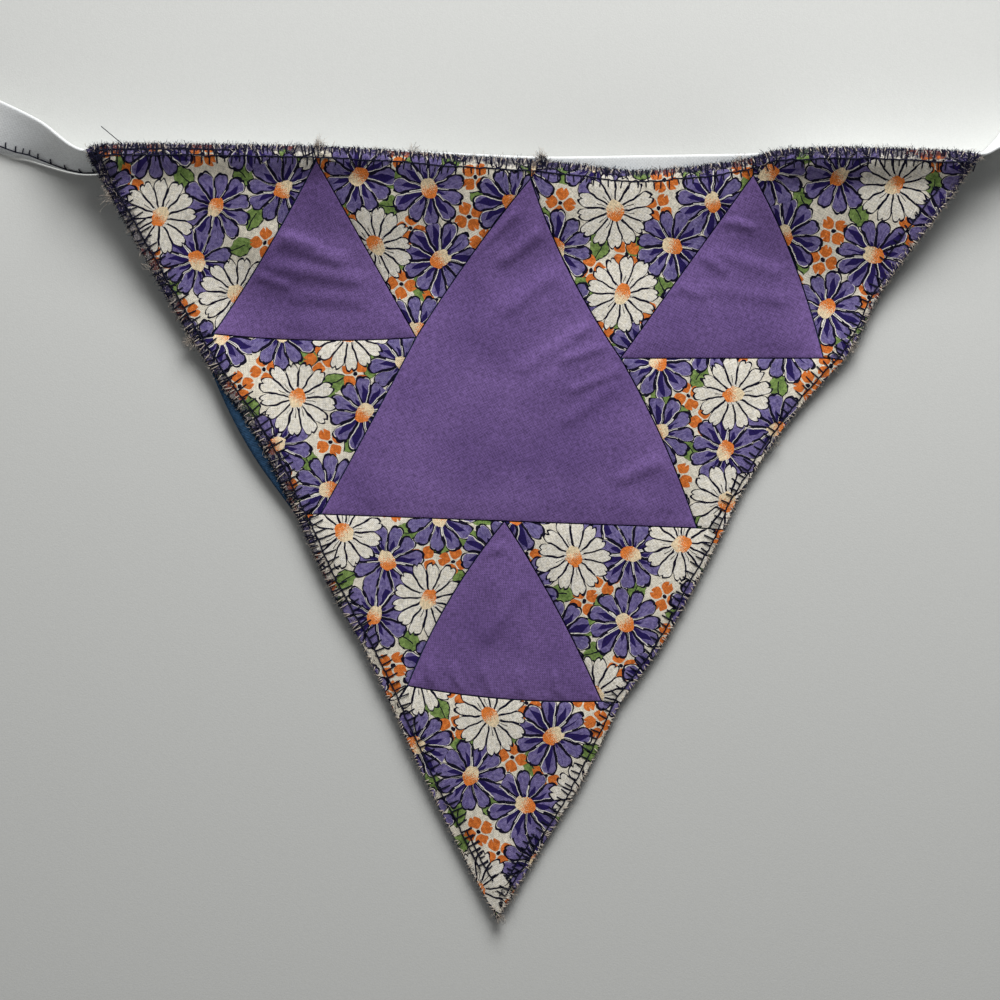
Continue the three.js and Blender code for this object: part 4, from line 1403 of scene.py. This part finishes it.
@dataclass
class RawEdge:
    """One raw edge of the pennant, with its stitches and its fray.

    Each row says from where to where along the edge it goes. A place below 0 counts from the end.
    """

    name: str
    corners: list[str]
    seed: int
    # Navy blanket stitch: how far inside the edge the spine runs and how long the legs are. The
    # first row is the whole edge's, and the others are where it was sewn twice.
    stitches: tuple[Stretch, ...]
    # The cloth's own threads that loop over the edge: how far apart, and how far in they reach.
    loops: tuple[Stretch, ...]
    # Navy thread whipped over the edge, as the loops are.
    whips: tuple[Stretch, ...] = ()
    pitch: float = 2.2
    uneven: float = 0.15  # by what share the steps differ
    wander: float = 0.35  # how far the spine wanders to each side, and within what length
    wander_length: float = 9
    seat: float = 0.16  # how high a thread's middle lies over the cloth
    arch: float = 0.3  # and how high it stands halfway along a leg
    line: Line = field(init=False)

    def __post_init__(self) -> None:
        """Finds the edge."""
        self.line = PLAN.edge(self.corners)
        self.chance = random.Random(self.seed)

    def sew(self, work: "ThreadWork", loose: "ThreadWork") -> None:
        """Sews the edge: the navy thread goes to work, and the cloth's own threads to loose."""
        for row in self.stitches:
            self.stitch(work, *row)
        for row in self.whips:
            self.whip(work, *row)
        for row in self.loops:
            self.whip(loose, *row)

    def run(self, start: float, stop: float) -> Point:
        """Two places along the edge, both counted from its start."""
        end = self.line.length
        return (start + end if start < 0 else start), (stop + end if stop < 0 else stop)

    def spot(self, distance: float, deep: float, up: float = 0.0) -> Vector:
        """A point on the pennant's face.

        Args:
            distance: How far along the edge.
            deep: How far inside it.
            up: How far over the face.

        Returns:
            The point, in millimetres.
        """
        heading = self.line.heading(distance)
        inward = Vector((-heading.y, heading.x))
        place = self.line.at(distance) + inward * deep
        height = FRONT.height(place.x, place.y, max(deep, 0.0))
        return Vector((place.x, place.y, height + up))

    def stitch(self, work: ThreadWork, start: float, stop: float, deep: float, leg: float) -> None:
        """Sews blanket stitch along part of the edge.

        Args:
            work: Where the thread goes.
            start: Where the stitch starts, along the edge.
            stop: Where it stops.
            deep: How far inside the edge its spine runs.
            leg: How long its legs are.
        """
        draw = self.chance
        place, end = self.run(start, stop)
        spine: list[Vector] = []
        while place < end:
            drift = noise.noise(Vector((place / self.wander_length, self.seed, deep)))
            here = deep + self.wander * drift + draw.uniform(-0.12, 0.12)
            spine.append(self.spot(place, here, self.seat))
            lean = draw.uniform(-0.35, 0.35)
            far = here + leg * draw.uniform(0.8, 1.2)
            work.lay(
                self.spot(place, here, self.seat),
                self.spot(place + lean / 2, (here + far) / 2, self.arch),
                self.spot(place + lean, far, 0.0),
            )
            step = self.pitch * draw.uniform(1 - self.uneven, 1 + self.uneven)
            spine.append(self.spot(place + step / 2, here + draw.uniform(-0.15, 0.15), 0.22))
            place += step
        work.lay(*spine)

    def whip(
        self, work: ThreadWork, start: float, stop: float, pitch: float, deep: float
    ) -> None:
        """Sews thread round the edge itself, without a spine.

        Args:
            work: Where the thread goes.
            start: Where the stitches start, along the edge.
            stop: Where they stop.
            pitch: How far apart they are.
            deep: How far in from the edge they reach.
        """
        draw = self.chance
        place, end = self.run(start, stop)
        while place < end:
            lean = draw.uniform(-1.0, 1.0)
            far = deep * draw.uniform(0.45, 1.2)
            work.lay(
                self.spot(place, -0.25, -0.6),
                self.spot(place + lean * 0.2, 0.05, 0.2),
                self.spot(place + lean * 0.6, far * 0.5, draw.uniform(0.2, 0.5)),
                self.spot(place + lean, far, 0.0),
            )
            place += pitch * draw.uniform(0.3, 1.8)

    def fray(self, fluff: "Fluff", count: float) -> None:
        """Sets loose threads along the edge.

        Args:
            fluff: What they are like, and the mesh that gets them.
            count: How many there are to a millimetre.
        """
        draw = self.chance
        for _ in range(int(self.line.length * count)):
            at = draw.uniform(0, self.line.length)
            if draw.random() > 0.25 + 0.75 * wear(*self.line.at(at)):
                continue
            root = self.spot(
                at, draw.uniform(-0.1, 0.5) - fluff.outward, -draw.uniform(0.05, 0.5) - fluff.lower
            )
            heading = self.line.heading(at)
            out = Vector((heading.y, -heading.x, 0))
            lean = Vector((heading.x, heading.y, 0)) * draw.gauss(0, 0.9)
            way = (out + lean + Vector((0, 0, draw.uniform(-0.45, 0.6)))).normalized()
            length = fluff.longest * (0.2 + 0.8 * draw.random() ** 3)
            fluff.strand(root, way, length, draw.uniform(0.03, 0.055))

    def mat(self, fluff: "Fluff", count: float) -> None:
        """Lays fibres over the strip between the edge and the stitch's spine.

        Args:
            fluff: What they are like, and the mesh that gets them.
            count: How many there are to a millimetre.
        """
        draw = self.chance
        spine = self.stitches[0][2]
        for _ in range(int(self.line.length * count)):
            at = draw.uniform(0, self.line.length)
            if draw.random() > wear(*self.line.at(at)):
                continue
            root = self.spot(at, draw.uniform(-0.1, spine), 0.05)
            heading = self.line.heading(at)
            way = Vector((heading.x, heading.y, draw.uniform(0, 0.25)))
            way.rotate(Matrix.Rotation(draw.gauss(0, 0.9), 3, "Z"))
            fluff.strand(root, way.normalized(), draw.uniform(0.6, 2.2), draw.uniform(0.04, 0.08))


CURL_SEED = 31  # the noise that curls the strands would otherwise be another each time


@dataclass
class Fluff:
    """Many fine strands that stand out of the cloth, gathered in one mesh."""

    name: str
    finish: Finish
    slot: str
    longest: float = 2.1
    uv: Callable[[float, float], Point] = PrintPlace().uv
    lower: float = 0.0  # how far under the front's face they grow
    outward: float = 0.0  # how far past the front's edge they grow
    curl: float = 0.3
    batch: int = 120  # strands that are made before they join the rest, which is quicker
    held: int = 0

    def __post_init__(self) -> None:
        """Makes the meshes that the strands go into."""
        self.all = bpy.data.meshes.new(self.name)
        self.part = bmesh.new()
        self.layer = self.part.loops.layers.uv.new("cloth")

    def strand(self, root: Vector, way: Vector, length: float, radius: float) -> None:
        """Adds a straight strand, in millimetres, which is bent later."""
        turn = way.to_track_quat("Z", "Y").to_matrix().to_4x4()
        middle = Matrix.Translation((root + way * length / 2) * MM)
        made = bmesh.ops.create_cone(
            self.part, cap_ends=True, cap_tris=True, segments=3, radius1=radius * MM,
            radius2=radius * 0.7 * MM, depth=length * MM, matrix=middle @ turn,
        )
        colour = self.uv(root.x, root.y)
        for face in {face for vert in made["verts"] for face in vert.link_faces}:
            for loop in face.loops:
                loop[self.layer].uv = colour
        self.held += 1
        if self.held >= self.batch:
            self.gather()

    def gather(self) -> None:
        """Bends the strands made so far and joins them to the rest."""
        long = [edge for edge in self.part.edges if edge.calc_length() > 0.35 * MM]
        bmesh.ops.subdivide_edges(self.part, edges=long, cuts=2)
        for vert in self.part.verts:
            vert.co += self.curl * MM * noise.noise_vector(vert.co / MM / 0.9)
        if self.all.polygons:
            self.part.from_mesh(self.all)
        self.part.to_mesh(self.all)
        self.part.free()
        self.part = bmesh.new()
        self.layer = self.part.loops.layers.uv.new("cloth")
        self.held = 0

    def build(self) -> bpy.types.Object:
        """Makes the piece."""
        self.gather()
        self.part.from_mesh(self.all)
        bpy.data.meshes.remove(self.all)
        return finished(self.part, self.name, self.finish, self.slot)


def patch_uv(x: float, y: float) -> Point:
    """The print's place at a point near a raw edge, from the printed patch that is nearest."""

    def away(patch: Patch) -> float:
        """How far the patch's middle is."""
        names = " ".join(patch.sides).split()
        middle = sum((Vector(CORNERS[n]) for n in names), Vector((0, 0))) / len(names)
        return (Vector((x, y)) - middle).length

    prints = [patch for patch in PATCHES if patch.finish is Finish.PRINT]
    return min(prints, key=away).place.uv(x, y)


@dataclass
class Edging:
    """The raw edges' stitches and fray, with the tufts and loose ends that hang on them."""

    left: RawEdge = field(default_factory=lambda: RawEdge(
        "left", LEFT_EDGE, 11,
        stitches=((1, -14, 2.6, 3.1), (-27, -10, 4.3, 1.6)),
        whips=((2, 150, 1.6, 3.0),),
        loops=((50, 165, 1.7, 2.2), (165, -2, 1.3, 0.9)),
    ))
    right: RawEdge = field(default_factory=lambda: RawEdge(
        "right", RIGHT_EDGE, 12,
        stitches=((7, -44, 1.7, 2.6), (12, 27, 3.6, 1.6), (-40, -14, 4.6, 1.5)),
        loops=((1, -2, 1.4, 1.0),),
    ))
    top: RawEdge = field(default_factory=lambda: RawEdge(
        "top", TOP_EDGE, 13,
        stitches=((1, -1, 3.1, 2.0), (-44, -1, 1.4, 2.2)),
        whips=((1, -1, 1.0, 2.9),),
        loops=((1, -1, 2.4, 1.5),),
    ))
    # Tufts of fibres: where they are, which way they lean, their number and their length.
    tufts: tuple[tuple[float, float, float, float, int, float], ...] = (
        (-51.3, 95.8, 0.2, 1.0, 70, 3.4),
        (12.3, 92.4, 0.0, 1.0, 80, 3.4),
        (-88.0, 40.5, -1.0, -0.4, 60, 3.0),
        (-110.8, 81.5, -1.0, 0.1, 34, 4.6),
        (3.5, -118.0, 1.0, -0.3, 30, 3.4),
        (-24.0, 94.8, 0.5, 1.0, 26, 2.4),
        (70.0, 92.2, -0.3, 1.0, 30, 2.2),
        (101.5, 39.0, 1.0, -0.4, 50, 2.4),
        (-100.0, 62.0, -0.8, 0.6, 24, 2.6),
        (0.2, -124.8, 0.1, -1.0, 60, 2.6),
        (80.0, 11.0, 0.9, -0.3, 22, 1.8),
    )
    # Knots of thread: where they are, their size and how many turns they have.
    knots: tuple[tuple[float, float, float, int], ...] = (
        (-0.4, -114.5, 1.3, 6), (0.6, -118.0, 1.4, 8), (0.9, -121.8, 0.9, 5), (13.0, 92.2, 1.6, 9),
    )

    def build(self) -> None:
        """Builds all the thread work and the fray."""
        pale = Fluff("fray_pale", Finish.FLUFF, "print_cotton", longest=2.0, curl=0.5)
        dark = Fluff("fray_navy", Finish.STITCH, "backing_cotton", longest=1.5, curl=0.5)
        under = Fluff(
            "fray_backing", Finish.BACKING, "backing_cotton", longest=1.6, lower=0.8, outward=0.2
        )
        loops = ThreadWork("frayed_loops", radius=0.14)
        for edge, teal, navy, white in (
            (self.left, 4.0, 3.0, 3.0), (self.right, 1.0, 0.6, 5.0), (self.top, 4.0, 5.0, 2.0)
        ):
            work = ThreadWork(f"blanket_stitch_{edge.name}")
            edge.sew(work, loops)
            work.build(Finish.STITCH)
            fray = Fluff(
                f"fray_{edge.name}", Finish.PRINT, "print_cotton", longest=1.5, uv=patch_uv
            )
            edge.fray(fray, 5.0)
            fray.build()
            edge.fray(pale, white)
            edge.mat(pale, white / 2)
            edge.fray(under, teal)
            edge.fray(dark, navy)
            edge.mat(dark, navy / 2)
        for x, y, out, up, count, long in self.tufts:
            self.tuft(pale, (x, y), (out, up), count, long)
            self.tuft(dark, (x, y), (out, up), count // 5, long)
        for piece in (pale, dark, under):
            piece.build()
        loops.build(Finish.FLUFF)
        self.loose_ends().build(Finish.STITCH)

    def tuft(
        self, fluff: Fluff, place: Point, leans: Point, count: int, long: float
    ) -> None:
        """Sets a small wisp of fibres that leans one way.

        Args:
            fluff: What the fibres are like, and the mesh that gets them.
            place: Where they grow.
            leans: Which way they lean.
            count: How many there are.
            long: How long the longest is, in millimetres.
        """
        draw = random.Random(int(place[0] * 10) + count)
        floor = FRONT.height(*place, 0.5)
        for _ in range(count):
            x, y = (value + draw.gauss(0, 0.7) for value in place)
            root = Vector((x, y, floor - 0.1))
            lean = Vector((*leans, 0.1))
            way = lean + Vector((draw.gauss(0, 0.7), draw.gauss(0, 0.7), draw.uniform(-0.1, 0.7)))
            fluff.strand(root, way.normalized(), long * draw.uniform(0.2, 1.0), 0.045)

    def loose_ends(self) -> ThreadWork:
        """The thread end that was left uncut at the left corner, and the knots."""
        work = ThreadWork("loose_thread_ends", radius=0.12)
        draw = random.Random(21)
        z = FRONT.height(-110, 94, 1.5)
        curve = [(-107.5 - 1.2 * i, 96.6 + i, z + 0.3 * i - 0.05 * i * i) for i in range(6)]
        work.lay(*(Vector(point) for point in curve))
        for x, y, size, turns in self.knots:
            tangle = []
            for i in range(turns * 3):
                a = i * 2.2 + draw.uniform(-0.5, 0.5)
                reach = size * draw.uniform(0.5, 1.1)
                px, py = x + reach * math.cos(a), y + reach * 1.3 * math.sin(a)
                tangle.append(Vector((px, py, FRONT.height(px, py, 1.0) + draw.uniform(0.1, 0.6))))
            work.lay(*tangle)
        return work


@dataclass
class TapeStitch:
    """The line of navy stitches along the open edge of the tape's left tail."""

    start: float = -187
    stop: float = -114
    inside: float = 1.3  # how far the spine runs inside the open edge
    leg: float = 1.8
    lean: float = 0.7  # how far a leg's end lies back along the tape
    pitch: float = 2.6
    over: float = 0.36  # how high the spine lies over the cloth's middle

    def build(self, tape: Tape) -> None:
        """Sews the stitches through the tape."""
        work = ThreadWork("tape_stitch_left")
        draw = random.Random(5)
        spine: list[Vector] = []
        place = self.start
        edge = TAPE.width - TAPE.lip - self.inside
        while place < self.stop:
            s = edge + draw.uniform(-0.15, 0.15)
            spine.append(tape.point(place, s, self.over))
            work.lay(
                tape.point(place, s, self.over),
                tape.point(place - 0.4, s - self.leg / 2, 0.45),
                tape.point(place - self.lean, s - self.leg, 0.22),
            )
            place += self.pitch * draw.uniform(0.85, 1.15)
        work.lay(*spine)
        work.build(Finish.STITCH)


@dataclass
class Studio:
    """The plain floor, the soft light and the camera, which looks straight down."""

    reach: float = 2.0  # from the camera down to the floor, in metres
    centre: Point = (0.0007, -0.0054)  # under the camera
    frame_width: float = 0.289  # what the picture shows from side to side
    sensor: float = 36.0  # in millimetres
    floor: float = 2.5  # half of the floor's width
    drop: float = 0.0002  # how far the floor lies under the cloth
    ambient: float = 0.13

    def build(self) -> None:
        """Sets up everything that isn't the pennant."""
        bm = bmesh.new()
        bmesh.ops.create_grid(bm, x_segments=1, y_segments=1, size=self.floor)
        bmesh.ops.translate(bm, verts=bm.verts[:], vec=(0, 0, -self.drop))
        mesh = bpy.data.meshes.new("floor")
        bm.to_mesh(mesh)
        bm.free()
        mesh.materials.append(Finish.FLOOR.material())
        floor = placed("floor", mesh)
        camera = bpy.data.cameras.new("camera")
        camera.sensor_width = self.sensor
        camera.lens = self.sensor * self.reach / self.frame_width
        camera.clip_start, camera.clip_end = 0.05, 20
        seat = placed("camera", camera)
        seat.location = (*self.centre, self.reach)
        bpy.context.scene.camera = seat
        self.lamp("window", (0.11, 0.62, 0.51), 0.46, 7.4)
        self.lamp("fill", (-0.7, -0.5, 1.2), 1.2, 0.8)
        world = bpy.data.worlds.new("studio")
        world.use_nodes = True
        sky = world.node_tree.nodes["Background"].inputs
        sky["Color"].default_value = (1, 1, 1, 1)
        sky["Strength"].default_value = self.ambient
        bpy.context.scene.world = world
        bpy.context.scene.view_settings.view_transform = "Standard"

    def lamp(self, name: str, place: tuple[float, float, float], size: float, power: float) -> None:
        """Hangs a square soft light that faces the pennant's middle."""
        light = bpy.data.lights.new(name, "AREA")
        light.shape, light.size, light.energy = "SQUARE", size, power
        lamp = placed(name, light)
        lamp.location = place
        lamp.rotation_euler = (-Vector(place)).to_track_quat("-Z", "Y").to_euler()


def main() -> None:
    """Builds the pennant piece by piece."""
    logging.basicConfig(level=logging.INFO, format="%(name)s %(message)s")
    noise.seed_set(CURL_SEED)
    Studio().build()
    for patch in PATCHES:
        patch.build()
    Backing().build()
    tape = Tape()
    tape.build()
    TapeStitch().build(tape)
    Edging().build()


if __name__ == "__main__":
    main()
